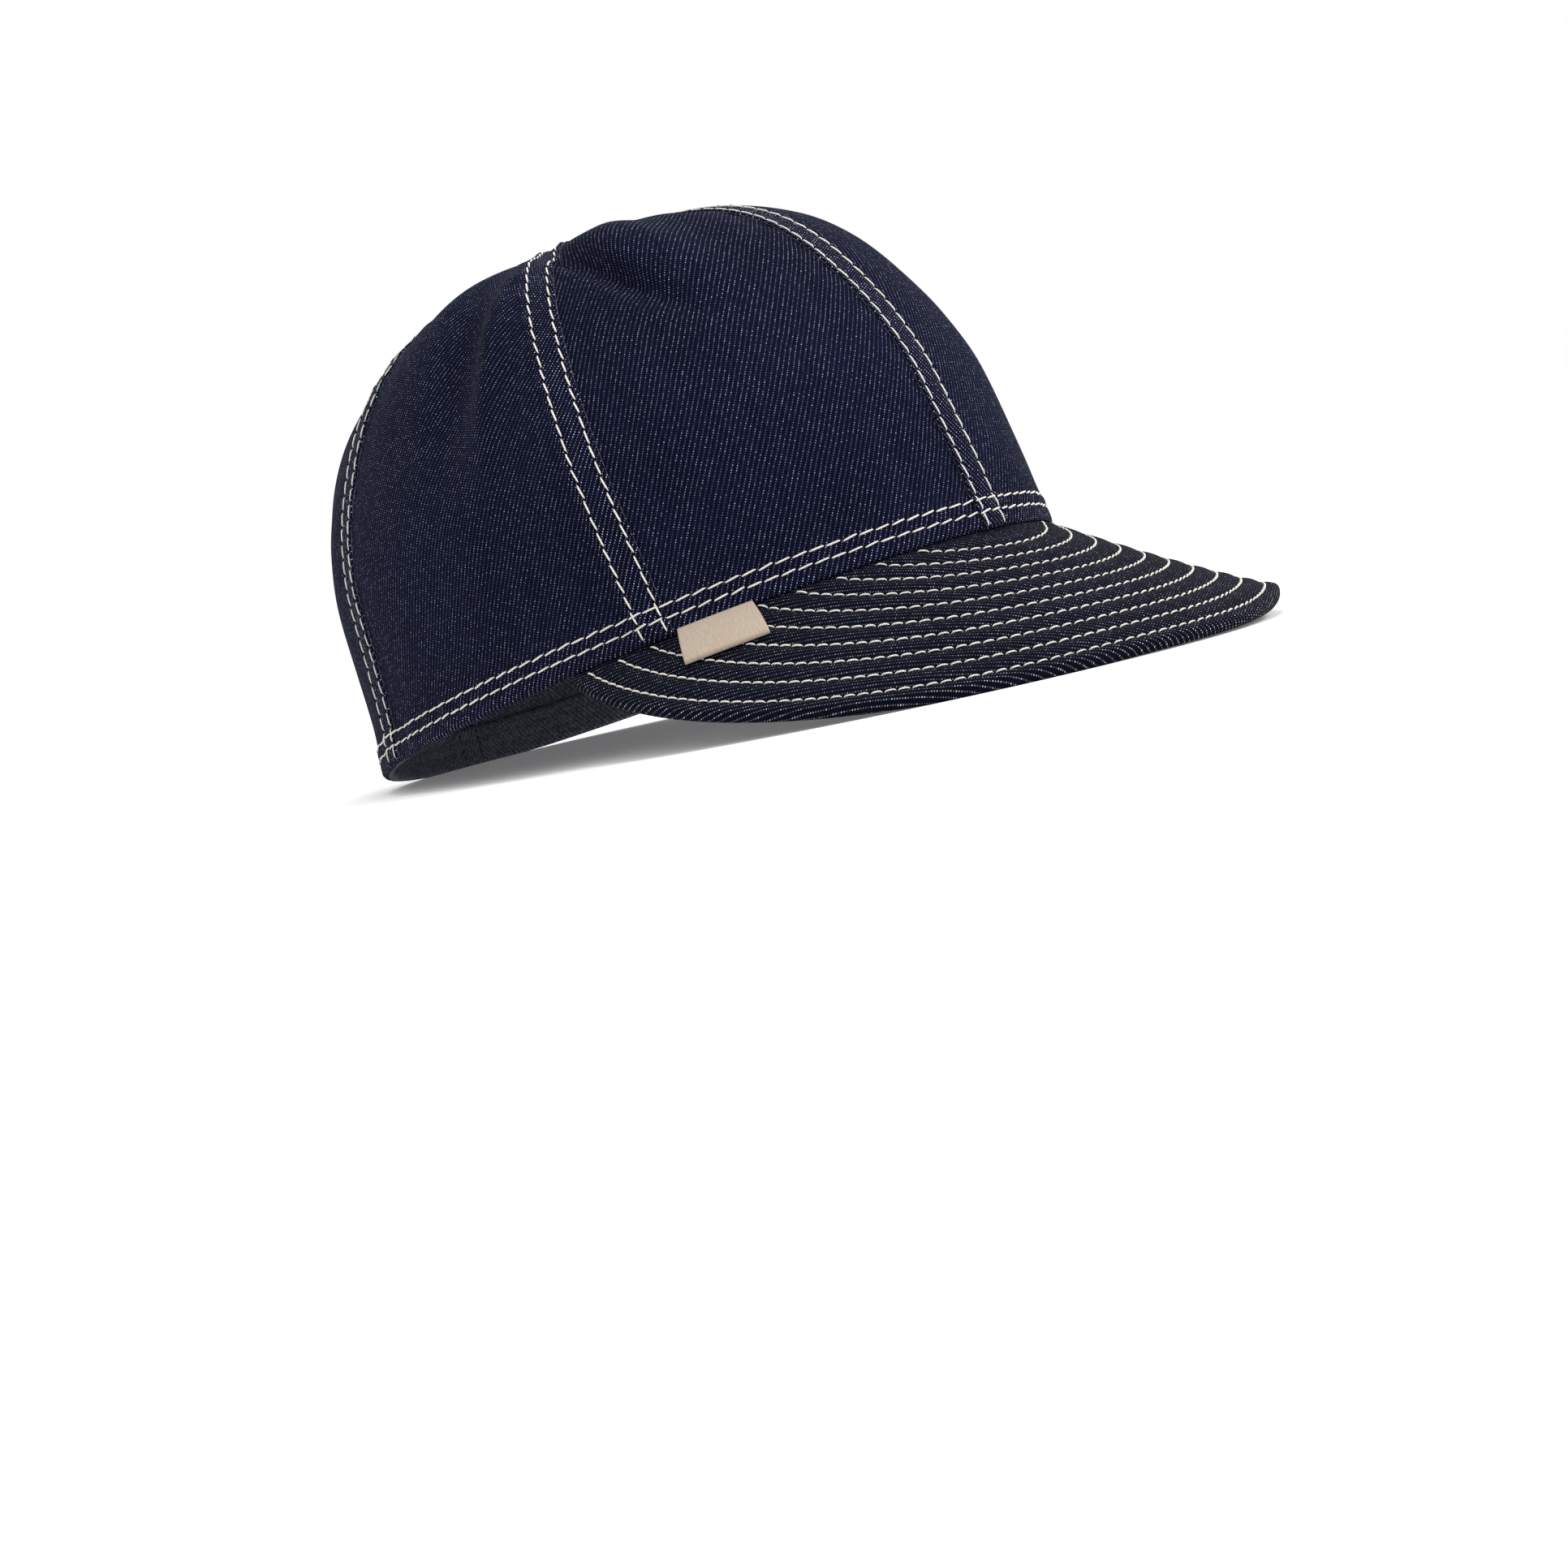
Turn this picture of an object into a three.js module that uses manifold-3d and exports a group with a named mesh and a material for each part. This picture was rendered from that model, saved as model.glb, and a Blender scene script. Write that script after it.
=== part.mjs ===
// A soft six-panel work cap in indigo denim: crown panels with flat-felled seams and a turned hem,
// a quilted two-ply peak sewn in under the hem, and a folded bare tape tab over the peak's side.
// Millimetres, +Z up, front towards -Y, wearer's right towards -X. The cap rests on z = 0 on the
// back of its rim and on the edge of its peak, and the origin lies at the middle of its box there.
import * as THREE from 'three';
import { mergeVertices } from 'three/addons/utils/BufferGeometryUtils.js';
import Module from 'manifold-3d';

const wasm = await Module();
wasm.setup();

// Crown
const RIM_HALF_WIDTH = 81.5;
const RIM_HALF_LENGTH = 104;
const CROWN_HEIGHT = 113.5;
const PANEL_CLOTH = 1.5;
const HEM_CLOTH = 2.8;
const HEM_HEIGHT = 11.5;
const SEAM_STRIP_WIDTH = 9.4;
const SEAM_STRIP_RISE = 0.8;
const APEX_HOLE_RADIUS = 1.0;

// Peak
const PEAK_LENGTH = 70.5;
const PEAK_DROOP_DEGREES = 37.6;
const PEAK_CLOTH = 1.3;
const PEAK_TUCK = 9;

// Tape tab
const LABEL_WIDTH = 20;
const LABEL_LENGTH = 14;
const LABEL_CLOTH = 1.4;
const LABEL_FROM_SEAM = 5.5;

// Fits
const GAP = 0.3;
const PRESSED_FLAT = 0.6;

// Panels run from one seam to the next, the first seam at the front centre.
const PANEL_NAMES = [
  'crown_panel_front_right', 'crown_panel_side_right', 'crown_panel_back_right',
  'crown_panel_back_left', 'crown_panel_side_left', 'crown_panel_front_left',
];
const PANELS = PANEL_NAMES.length;
const PANEL_ANGLE = 2 * Math.PI / PANELS;

// Sections of the crown from rim to top. up: share of CROWN_HEIGHT. front, side, back: share of
// the rim's reach that way. puff: outward bulge between seams, share of RIM_HALF_WIDTH.
// swing: degrees that the side seams lean back.
const SECTION_COLUMNS = ['up', 'front', 'side', 'back', 'puff', 'swing'];
const SECTIONS = [
  [0.000, 1.000, 1.000, 1.000, 0.000, 0.0],
  [0.110, 0.996, 0.978, 0.990, 0.003, 0.7],
  [0.260, 0.980, 0.953, 0.984, 0.008, 1.7],
  [0.400, 0.958, 0.934, 0.976, 0.012, 2.4],
  [0.530, 0.912, 0.886, 0.955, 0.016, 2.9],
  [0.650, 0.845, 0.808, 0.912, 0.020, 3.4],
  [0.760, 0.762, 0.728, 0.832, 0.024, 3.4],
  [0.850, 0.655, 0.640, 0.712, 0.026, 3.0],
  [0.915, 0.520, 0.535, 0.565, 0.026, 2.4],
  [0.960, 0.345, 0.385, 0.390, 0.022, 1.5],
  [0.985, 0.175, 0.205, 0.200, 0.012, 0.6],
  [0.990, 0.000, 0.000, 0.000, 0.000, 0.0],
];

// Folds of the cloth along the crown. low, top: degrees from the front towards the wearer's right
// at the fold's two ends. width, depth: shares of RIM_HALF_WIDTH, depth inward where negative.
// from, to: shares of the way from rim to top.
const FOLD_COLUMNS = ['low', 'top', 'width', 'depth', 'from', 'to'];
const FOLDS = [
  [1, 74, 0.050, -0.050, 0.40, 0.86],
  [-9, 64, 0.110, 0.026, 0.42, 0.84],
  [85, 60, 0.070, 0.018, 0.22, 0.82],
  [91, 73, 0.085, -0.032, 0.24, 0.90],
  [132, 142, 0.110, -0.028, 0.40, 0.92],
  [172, 164, 0.120, -0.020, 0.36, 0.88],
  [-152, -146, 0.100, -0.030, 0.42, 0.92],
  [-96, -86, 0.085, -0.036, 0.34, 0.92],
  [-30, -44, 0.070, -0.030, 0.46, 0.90],
  [-13, -10, 0.170, -0.020, 0.06, 0.48],
];

// The peak is cut flat as part of an ellipse and sewn to the rim, which bends it into a cone.
// centre: share of the cone's slant length at the front. halfWidth: share of RIM_HALF_WIDTH.
// apexForward: share of RIM_HALF_LENGTH that the cone's apex lies in front of the middle.
const PEAK_CUT = { centre: 0.72, halfWidth: 1.205, apexForward: 0.029 };

// How finely the pieces are faceted, and how finely slopes and the cone are measured
const PANEL_COLUMNS = 11;
const STRIP_COLUMNS = 2;
const PANEL_ROWS = 15;
const WIDEST_HALF_STRIP = 0.2;
const WIDEST_FLANK = 0.08;
const PEAK_COLUMNS = 38;
const PEAK_ROWS = 6;
const BEND_STEPS = 2;
const BEVEL_FADE_DEGREES = 4;
const LABEL_COLUMNS = 4;
const LABEL_ROWS = 3;
const SLOPE_STEP = 0.002;
const CONE_STEPS = 200;
const HALVINGS = 30;

const radians = THREE.MathUtils.degToRad;

// A table's columns as smooth curves over its keys, with no overshoot between rows.
function smoothColumns(keys, rows) {
  const last = keys.length - 1;
  return rows[0].map((_, column) => {
    const values = rows.map((row) => row[column]);
    const rise = keys.slice(1).map((key, i) => (values[i + 1] - values[i]) / (key - keys[i]));
    const slopes = values.map((_, i) => {
      if (i === 0) return rise[0];
      if (i === last) return rise[last - 1];
      if (rise[i - 1] * rise[i] <= 0) return 0;
      return 2 * rise[i - 1] * rise[i] / (rise[i - 1] + rise[i]);
    });
    return (key) => {
      const x = THREE.MathUtils.clamp(key, keys[0], keys[last]);
      const i = Math.min(Math.max(keys.findIndex((k) => k >= x) - 1, 0), last - 1);
      const span = keys[i + 1] - keys[i];
      const t = (x - keys[i]) / span;
      const ease = t * t * (3 - 2 * t);
      const start = t * (1 - t) * (1 - t) * span * slopes[i];
      const end = t * t * (t - 1) * span * slopes[i + 1];
      return values[i] * (1 - ease) + values[i + 1] * ease + start + end;
    };
  });
}

// A table's row as an object with the columns' names
function named(columns, row) {
  return Object.fromEntries(columns.map((column, i) => [column, row[i]]));
}

const sections = SECTIONS.map((row) => named(SECTION_COLUMNS, row));
const folds = FOLDS.map((row) => named(FOLD_COLUMNS, row));

// Share of the way from rim to top, measured along the cloth's average profile
const sectionKeys = sections.reduce((keys, section, i) => {
  if (i === 0) return [0];
  const before = sections[i - 1];
  const inward = (before.front - section.front) * RIM_HALF_LENGTH / 2
    + (before.side - section.side) * RIM_HALF_WIDTH / 2;
  const upward = (section.up - before.up) * CROWN_HEIGHT;
  return [...keys, keys[i - 1] + Math.hypot(inward, upward)];
}, []);
const PROFILE_LENGTH = sectionKeys.at(-1);
const [upAt, frontAt, sideAt, backAt, puffAt, swingAt] = smoothColumns(
  sectionKeys.map((key) => key / PROFILE_LENGTH), SECTIONS);

// The crown's even surface: angle from the front towards the wearer's right, share from rim to top
function evenCrown(angle, share) {
  const turned = angle + radians(swingAt(share)) * Math.sin(angle);
  const ahead = Math.cos(turned);
  const aside = Math.sin(turned);
  const lengthwise = ahead > 0 ? frontAt(share) : backAt(share);
  const reach = lengthwise * ahead * ahead + sideAt(share) * aside * aside;
  return new THREE.Vector3(-RIM_HALF_WIDTH * aside * reach, -RIM_HALF_LENGTH * ahead * reach,
    upAt(share) * CROWN_HEIGHT);
}

function outward(surface, angle, share) {
  const inner = Math.min(share, 1 - 2 * SLOPE_STEP);
  const along = surface(angle, inner + SLOPE_STEP).sub(surface(angle, Math.max(inner - SLOPE_STEP, 0)));
  const across = surface(angle + SLOPE_STEP, inner).sub(surface(angle - SLOPE_STEP, inner));
  return along.cross(across).normalize();
}

function window(from, to, share) {
  const t = THREE.MathUtils.clamp((share - from) / (to - from), 0, 1);
  return Math.sin(Math.PI * t) ** 2;
}

function foldDepth(angle, share) {
  const radius = Math.hypot(evenCrown(angle, share).x, evenCrown(angle, share).y);
  return folds.reduce((sum, fold) => {
    const middle = radians(THREE.MathUtils.lerp(fold.low, fold.top, share));
    const turn = Math.atan2(Math.sin(angle - middle), Math.cos(angle - middle));
    const away = turn * radius / (fold.width * RIM_HALF_WIDTH);
    return sum + fold.depth * RIM_HALF_WIDTH * Math.exp(-away * away) * window(fold.from, fold.to, share);
  }, 0);
}

// The crown's outer face with its puffed panels and folds
function crown(angle, share) {
  const puff = puffAt(share) * RIM_HALF_WIDTH * Math.abs(Math.sin(PANELS / 2 * angle));
  return evenCrown(angle, share)
    .addScaledVector(outward(evenCrown, angle, share), puff + foldDepth(angle, share));
}

// A closed shell between two grids of points, joined round their border. The outer grid's rows
// turned towards its columns face outwards.
function shellGeometry(columns, rows, outerPoint, innerPoint) {
  const positions = [];
  const triangles = [];
  const stride = rows + 1;
  const innerStart = (columns + 1) * stride;
  for (const point of [outerPoint, innerPoint]) {
    for (let column = 0; column <= columns; column++) {
      for (let row = 0; row <= rows; row++) positions.push(...point(column, row).toArray());
    }
  }
  const quad = (a, b, c, d) => triangles.push(a, b, c, a, c, d);
  const at = (column, row) => column * stride + row;
  for (let column = 0; column < columns; column++) {
    for (let row = 0; row < rows; row++) {
      const corners = [at(column, row), at(column, row + 1), at(column + 1, row + 1), at(column + 1, row)];
      quad(...corners);
      quad(...corners.reverse().map((corner) => corner + innerStart));
    }
  }
  const border = [
    ...Array.from({ length: columns }, (_, i) => at(i, 0)),
    ...Array.from({ length: rows }, (_, i) => at(columns, i)),
    ...Array.from({ length: columns }, (_, i) => at(columns - i, rows)),
    ...Array.from({ length: rows }, (_, i) => at(0, rows - i)),
  ];
  border.forEach((a, i) => {
    const b = border[(i + 1) % border.length];
    quad(a, b, b + innerStart, a + innerStart);
  });
  const geometry = new THREE.BufferGeometry();
  geometry.setAttribute('position', new THREE.Float32BufferAttribute(positions, 3));
  geometry.setIndex(triangles);
  return geometry;
}

// The peak's cone: its apex, and the slant line from there to the rim at an angle round the rim
const peakApex = new THREE.Vector3(0, -PEAK_CUT.apexForward * RIM_HALF_LENGTH,
  (1 - PEAK_CUT.apexForward) * RIM_HALF_LENGTH * Math.tan(radians(PEAK_DROOP_DEGREES)));

function slantLine(angle) {
  const line = evenCrown(angle, 0).sub(peakApex);
  const length = line.length();
  return { length, direction: line.divideScalar(length) };
}

// How steeply the peak leaves the rim
function peakSlope(angle) {
  const { direction } = slantLine(angle);
  return Math.atan2(-direction.z, Math.hypot(direction.x, direction.y));
}

// The angle between the front slant line and another once the cone is laid flat
function flatAngle(angle) {
  const step = angle / CONE_STEPS;
  const lines = Array.from({ length: CONE_STEPS + 1 }, (_, i) => slantLine(i * step).direction);
  return lines.slice(1).reduce((sum, line, i) => sum + line.angleTo(lines[i]), 0);
}

// The peak's length from rim to edge along a slant line, where its elliptical cut ends
function peakReach(angle) {
  const frontSlant = slantLine(0).length;
  const centre = PEAK_CUT.centre * frontSlant;
  const halfLength = frontSlant + PEAK_LENGTH - centre;
  const halfWidth = PEAK_CUT.halfWidth * RIM_HALF_WIDTH;
  const flat = flatAngle(Math.abs(angle));
  const a = (Math.sin(flat) / halfWidth) ** 2 + (Math.cos(flat) / halfLength) ** 2;
  const b = centre * Math.cos(flat) / halfLength ** 2;
  const c = (centre / halfLength) ** 2 - 1;
  return (b + Math.sqrt(b * b - a * c)) / a - slantLine(angle).length;
}

// The angle where the peak runs out under the rim, by halving
function peakEndAngle() {
  let inside = 0;
  let outside = Math.PI / 2;
  for (let i = 0; i < HALVINGS; i++) {
    const middle = (inside + outside) / 2;
    if (peakReach(middle) > HEM_CLOTH) inside = middle;
    else outside = middle;
  }
  return inside;
}

const PEAK_END = peakEndAngle();
const PEAK_HALF_STACK = GAP / 2 + PEAK_CLOTH;

// Shares from rim to top of the rows of a crown panel, with a close pair at the top of the hem
function panelShares() {
  const hemTop = HEM_HEIGHT / PROFILE_LENGTH;
  const hemStep = (HEM_CLOTH - PANEL_CLOTH) / PROFILE_LENGTH;
  const top = 1 - APEX_HOLE_RADIUS / PROFILE_LENGTH;
  const above = Array.from({ length: PANEL_ROWS - 2 }, (_, i) =>
    THREE.MathUtils.lerp(hemTop + hemStep, top, i / (PANEL_ROWS - 3)));
  return [0, hemTop, ...above];
}

// Height of the hem's inner lower edge: over the peak it is bevelled to the peak's slope
function hemBevel(angle) {
  const fromFront = Math.abs(Math.atan2(Math.sin(angle), Math.cos(angle)));
  const past = (fromFront - PEAK_END) / radians(BEVEL_FADE_DEGREES);
  return HEM_CLOTH * Math.tan(peakSlope(angle)) * THREE.MathUtils.clamp(2 - past, 0, 1);
}

// Half the seam strip, its sloping flank and the gap beside it, as shares of a panel's angle
function seamShares(seam, share) {
  const step = evenCrown(seam + SLOPE_STEP, share).distanceTo(evenCrown(seam - SLOPE_STEP, share));
  const panelWidth = step / (2 * SLOPE_STEP) * PANEL_ANGLE;
  return {
    halfStrip: Math.min(SEAM_STRIP_WIDTH / 2 / panelWidth, WIDEST_HALF_STRIP),
    flank: Math.min(SEAM_STRIP_RISE / panelWidth, WIDEST_FLANK),
    gap: GAP / panelWidth,
  };
}

// One panel. Its first two columns are the raised strip that covers the seam, and its last column
// stops a gap short of the next panel's strip.
function crownPanel(index) {
  const shares = panelShares();
  const hemTop = HEM_HEIGHT / PROFILE_LENGTH;
  const seam = index * PANEL_ANGLE;
  const angleOf = (column, share) => {
    const own = seamShares(seam, share);
    const next = seamShares(seam + PANEL_ANGLE, share);
    const even = (column - STRIP_COLUMNS) / (PANEL_COLUMNS - STRIP_COLUMNS);
    let part = THREE.MathUtils.lerp(own.halfStrip + own.flank, 1 - next.halfStrip - next.gap, even);
    if (column < STRIP_COLUMNS) part = column === 0 ? -own.halfStrip : own.halfStrip;
    return seam + part * PANEL_ANGLE;
  };
  const outerPoint = (column, row) => {
    const angle = angleOf(column, shares[row]);
    const rise = column < STRIP_COLUMNS ? SEAM_STRIP_RISE : 0;
    return crown(angle, shares[row]).addScaledVector(outward(crown, angle, shares[row]), rise);
  };
  const innerPoint = (column, row) => {
    const angle = angleOf(column, shares[row]);
    const share = row === 0 ? hemBevel(angle) / PROFILE_LENGTH : shares[row];
    const cloth = share <= hemTop ? HEM_CLOTH : PANEL_CLOTH;
    const away = outward(evenCrown, angle, share);
    if (row === 0) away.setZ(0).normalize();
    return crown(angle, share).addScaledVector(away, -cloth);
  };
  return shellGeometry(PANEL_COLUMNS, PANEL_ROWS - 1, outerPoint, innerPoint);
}

// The middle layer of the peak in the upright slice through a slant line. It runs up inside the
// hem, bends round the hem's bevelled lower corner and follows the slope. Each place on it has its
// distance away from the rim, its height and its turn from level.
function peakSlice(angle) {
  const rim = evenCrown(angle, 0);
  const { direction } = slantLine(angle);
  const away = new THREE.Vector3(direction.x, direction.y, 0).normalize();
  const slope = peakSlope(angle);
  const bend = GAP + PEAK_HALF_STACK;
  const wall = HEM_CLOTH / outward(evenCrown, angle, 0).dot(away);
  const leanAt = (height) => rim.clone().sub(evenCrown(angle, height / PROFILE_LENGTH)).dot(away);
  const onSlope = (slant) => ({
    away: slant * Math.cos(slope) - bend * Math.sin(slope),
    up: -slant * Math.sin(slope) - bend * Math.cos(slope),
    turn: slope,
  });
  const point = (place, offset) => rim.clone()
    .addScaledVector(away, place.away + offset * Math.sin(place.turn))
    .add(new THREE.Vector3(0, 0, place.up + offset * Math.cos(place.turn)));
  return { slope, bend, wall, leanAt, onSlope, point };
}

function peakPath(angle) {
  const { slope, bend, wall, leanAt, onSlope } = peakSlice(angle);
  const corner = wall * Math.tan(slope);
  const inside = -wall - leanAt(corner);
  const tuckTop = -wall - leanAt(PEAK_TUCK) - bend;
  const places = [{ away: tuckTop, up: PEAK_TUCK, turn: Math.PI / 2 }];
  for (let i = 0; i <= BEND_STEPS; i++) {
    const turn = THREE.MathUtils.lerp(Math.PI / 2, slope, i / BEND_STEPS);
    places.push({ away: inside - bend * Math.sin(turn), up: corner - bend * Math.cos(turn), turn });
  }
  const bendEnd = inside / Math.cos(slope);
  const reach = Math.max(peakReach(angle), HEM_CLOTH);
  for (let i = 1; i <= PEAK_ROWS; i++) {
    places.push(onSlope(THREE.MathUtils.lerp(bendEnd, reach, i / PEAK_ROWS)));
  }
  return places;
}

// One ply of the peak between two offsets from its middle layer
function peakPly(lower, upper) {
  const slices = Array.from({ length: PEAK_COLUMNS + 1 }, (_, column) => {
    const angle = THREE.MathUtils.lerp(-PEAK_END, PEAK_END, column / PEAK_COLUMNS);
    return { point: peakSlice(angle).point, places: peakPath(angle).reverse() };
  });
  const side = (offset) => (column, row) => slices[column].point(slices[column].places[row], offset);
  return shellGeometry(PEAK_COLUMNS, slices[0].places.length - 1, side(upper), side(lower));
}

// The tape tab lies on the peak just in front of the side seam, with its root against the hem's edge
function sideLabel() {
  const seam = PANEL_ANGLE;
  const step = evenCrown(seam, 0).distanceTo(evenCrown(seam - SLOPE_STEP, 0)) / SLOPE_STEP;
  const start = seam - LABEL_FROM_SEAM / step;
  const lower = PEAK_HALF_STACK + GAP;
  const side = (offset) => (column, row) => {
    const angle = start - (LABEL_COLUMNS - column) / LABEL_COLUMNS * LABEL_WIDTH / step;
    const { slope, bend, onSlope, point } = peakSlice(angle);
    const root = (GAP + (bend - lower) * Math.sin(slope)) / Math.cos(slope);
    return point(onSlope(root + LABEL_LENGTH * (1 - row / LABEL_ROWS)), offset);
  };
  return shellGeometry(LABEL_COLUMNS, LABEL_ROWS, side(lower + LABEL_CLOTH), side(lower));
}

const DENIM = { color: 0x1d2133, roughness: 0.92, metalness: 0 };
const PEAK_DENIM = { color: 0x23253a, roughness: 0.92, metalness: 0 };
const TAPE = { color: 0xb8a892, roughness: 0.85, metalness: 0 };

const crownPieces = PANEL_NAMES.map((name, index) => ({ name, look: DENIM, geometry: crownPanel(index) }));
const peakPieces = [
  { name: 'peak_top', look: PEAK_DENIM, geometry: peakPly(GAP / 2, PEAK_HALF_STACK) },
  { name: 'peak_under', look: PEAK_DENIM, geometry: peakPly(-PEAK_HALF_STACK, -GAP / 2) },
];
const labelPiece = { name: 'side_label', look: TAPE, geometry: sideLabel() };
const pieces = [...crownPieces, ...peakPieces, labelPiece];

// The lowest height of some pieces once the cap is tipped back about the X axis
function lowest(some, tilt) {
  const turn = new THREE.Matrix4().makeRotationX(-tilt);
  return Math.min(...some.map(({ geometry }) => {
    const turned = geometry.clone().applyMatrix4(turn);
    turned.computeBoundingBox();
    return turned.boundingBox.min.z;
  }));
}

// The tilt at which the back of the rim and the edge of the peak touch the floor together
function restTilt() {
  let tooLittle = 0;
  let tooMuch = radians(PEAK_DROOP_DEGREES);
  for (let i = 0; i < HALVINGS; i++) {
    const middle = (tooLittle + tooMuch) / 2;
    if (lowest(crownPieces, middle) > lowest(peakPieces, middle)) tooLittle = middle;
    else tooMuch = middle;
  }
  return tooLittle;
}

function toSolid(geometry) {
  const bare = geometry.clone();
  bare.deleteAttribute('normal');
  bare.deleteAttribute('uv');
  const merged = mergeVertices(bare);
  return new wasm.Manifold(new wasm.Mesh({
    numProp: 3,
    vertProperties: new Float32Array(merged.attributes.position.array),
    triVerts: new Uint32Array(merged.index.array),
  }));
}

function toGeometry(solid) {
  const mesh = solid.getMesh();
  const geometry = new THREE.BufferGeometry();
  geometry.setAttribute('position', new THREE.BufferAttribute(mesh.vertProperties, 3));
  geometry.setIndex(new THREE.BufferAttribute(mesh.triVerts, 1));
  return geometry;
}

// Tip the cap on to the floor and press the cloth flat where it rests.
const REST_TILT = restTilt();
const onFloor = new THREE.Matrix4().makeTranslation(0, 0, -lowest(pieces, REST_TILT) - PRESSED_FLAT)
  .multiply(new THREE.Matrix4().makeRotationX(-REST_TILT));
const underFloorSize = 4 * (RIM_HALF_LENGTH + PEAK_LENGTH);
const underFloor = toSolid(new THREE.BoxGeometry(underFloorSize, underFloorSize, underFloorSize)
  .translate(0, 0, -underFloorSize / 2));

const cap = new THREE.Group();
for (const { name, look, geometry } of pieces) {
  const resting = toSolid(geometry.applyMatrix4(onFloor)).subtract(underFloor);
  const mesh = new THREE.Mesh(toGeometry(resting), new THREE.MeshStandardMaterial(look));
  mesh.name = name;
  cap.add(mesh);
}
const middle = new THREE.Box3().setFromObject(cap, true).getCenter(new THREE.Vector3());
cap.position.set(-middle.x, -middle.y, 0);
cap.updateMatrixWorld(true);

export default cap;
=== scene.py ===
import math

import bpy
import numpy as np
from mathutils import Matrix, Vector

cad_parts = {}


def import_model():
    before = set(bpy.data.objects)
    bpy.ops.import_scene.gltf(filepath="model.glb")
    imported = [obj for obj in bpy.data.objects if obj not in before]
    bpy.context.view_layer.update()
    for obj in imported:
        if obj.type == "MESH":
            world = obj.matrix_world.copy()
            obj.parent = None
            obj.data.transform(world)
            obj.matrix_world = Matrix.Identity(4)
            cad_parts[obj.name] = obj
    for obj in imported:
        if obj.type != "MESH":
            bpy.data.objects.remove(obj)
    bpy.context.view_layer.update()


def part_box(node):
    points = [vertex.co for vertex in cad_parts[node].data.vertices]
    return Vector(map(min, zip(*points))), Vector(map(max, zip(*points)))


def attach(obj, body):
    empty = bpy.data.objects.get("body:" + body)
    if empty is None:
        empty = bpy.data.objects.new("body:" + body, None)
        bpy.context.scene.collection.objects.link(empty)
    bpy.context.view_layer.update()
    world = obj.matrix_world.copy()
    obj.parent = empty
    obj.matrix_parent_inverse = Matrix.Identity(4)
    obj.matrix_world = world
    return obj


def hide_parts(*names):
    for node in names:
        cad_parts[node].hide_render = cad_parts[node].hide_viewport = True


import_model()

# A soft six-panel work cap in indigo denim, resting on the back of its rim and the edge of its peak.
# Lengths are millimetres until a mesh is made. Angles round the crown start at the front and grow
# towards the wearer's right. A share is the way up the crown's profile, 0 at the rim, 1 at the top.
MM = 0.001

# Crown
RIM_HALF_WIDTH = 81.5
RIM_HALF_LENGTH = 104
CROWN_HEIGHT = 113.5
PANEL_CLOTH = 1.5
APEX_HOLE = 1.0
HEM_CLOTH = 2.8
HEM_TURN = 11.5
HEM_FACE = 9.2
HEM_BULGE = 0.45
HEM_STITCH_ROWS = (4.4, 7.6)

# Felled seams: a strip over each seam, with a folded lip on one side
STRIP_HALF = 4.7
STRIP_RISE = 0.9
STRIP_TUCK = 1.0
LIP_RADIUS = 0.45
SEAM_GAUGE = 6.35
WIDEST_HALF_STRIP = 0.42

# Peak
PEAK_LENGTH = 70.5
PEAK_DROOP = math.radians(37.6)
PEAK_STACK = 2.9
PEAK_TUCK = 9
PEAK_CUT = {"centre": 0.72, "half_width": 1.205, "apex_forward": 0.029}
QUILT_ROWS = 10
QUILT_FIRST = 4.4
QUILT_RIDGE = 0.8
QUILT_BOW = 0.25
EDGE_BAND_RISE = 0.35

# Tape tab
LABEL_WIDTH = 20
LABEL_LENGTH = 14
LABEL_CLOTH = 1.4
LABEL_FROM_SEAM = 5.5
LABEL_BOW = 1.0

# Thread and stitches
THREAD_RADIUS = 0.25
SEAM_PITCH = 4.3
QUILT_PITCH = 3.2
STITCH_GAP = 0.26
STITCH_YAW = math.radians(7)
STITCH_DIP = 0.28
DIP_WIDTH = 0.6

# Fits
GAP = 0.3
PRESSED_FLAT = 0.6
PANELS = 6
PANEL_ANGLE = 2 * math.pi / PANELS
PANEL_NAMES = ("crown_panel_front_right", "crown_panel_side_right", "crown_panel_back_right",
               "crown_panel_back_left", "crown_panel_side_left", "crown_panel_front_left")
CENTRE_SEAMS = (0, PANELS // 2)

# Sections of the crown from rim to top. up: share of CROWN_HEIGHT. front, side, back: share of the
# rim's reach that way. puff: bulge between seams, share of RIM_HALF_WIDTH. swing: degrees that the
# side seams lean back.
SECTION_COLUMNS = ("up", "front", "side", "back", "puff", "swing")
SECTIONS = np.array([
    (0.000, 1.000, 1.000, 1.000, 0.000, 0.0),
    (0.110, 0.996, 0.978, 0.990, 0.003, 0.7),
    (0.260, 0.980, 0.953, 0.984, 0.008, 1.7),
    (0.400, 0.958, 0.934, 0.976, 0.012, 2.4),
    (0.530, 0.912, 0.886, 0.955, 0.016, 2.9),
    (0.650, 0.845, 0.808, 0.912, 0.020, 3.4),
    (0.760, 0.762, 0.728, 0.832, 0.024, 3.4),
    (0.850, 0.655, 0.640, 0.712, 0.026, 3.0),
    (0.915, 0.520, 0.535, 0.565, 0.026, 2.4),
    (0.960, 0.345, 0.385, 0.390, 0.022, 1.5),
    (0.985, 0.175, 0.205, 0.200, 0.012, 0.6),
    (0.990, 0.000, 0.000, 0.000, 0.000, 0.0),
])

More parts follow.
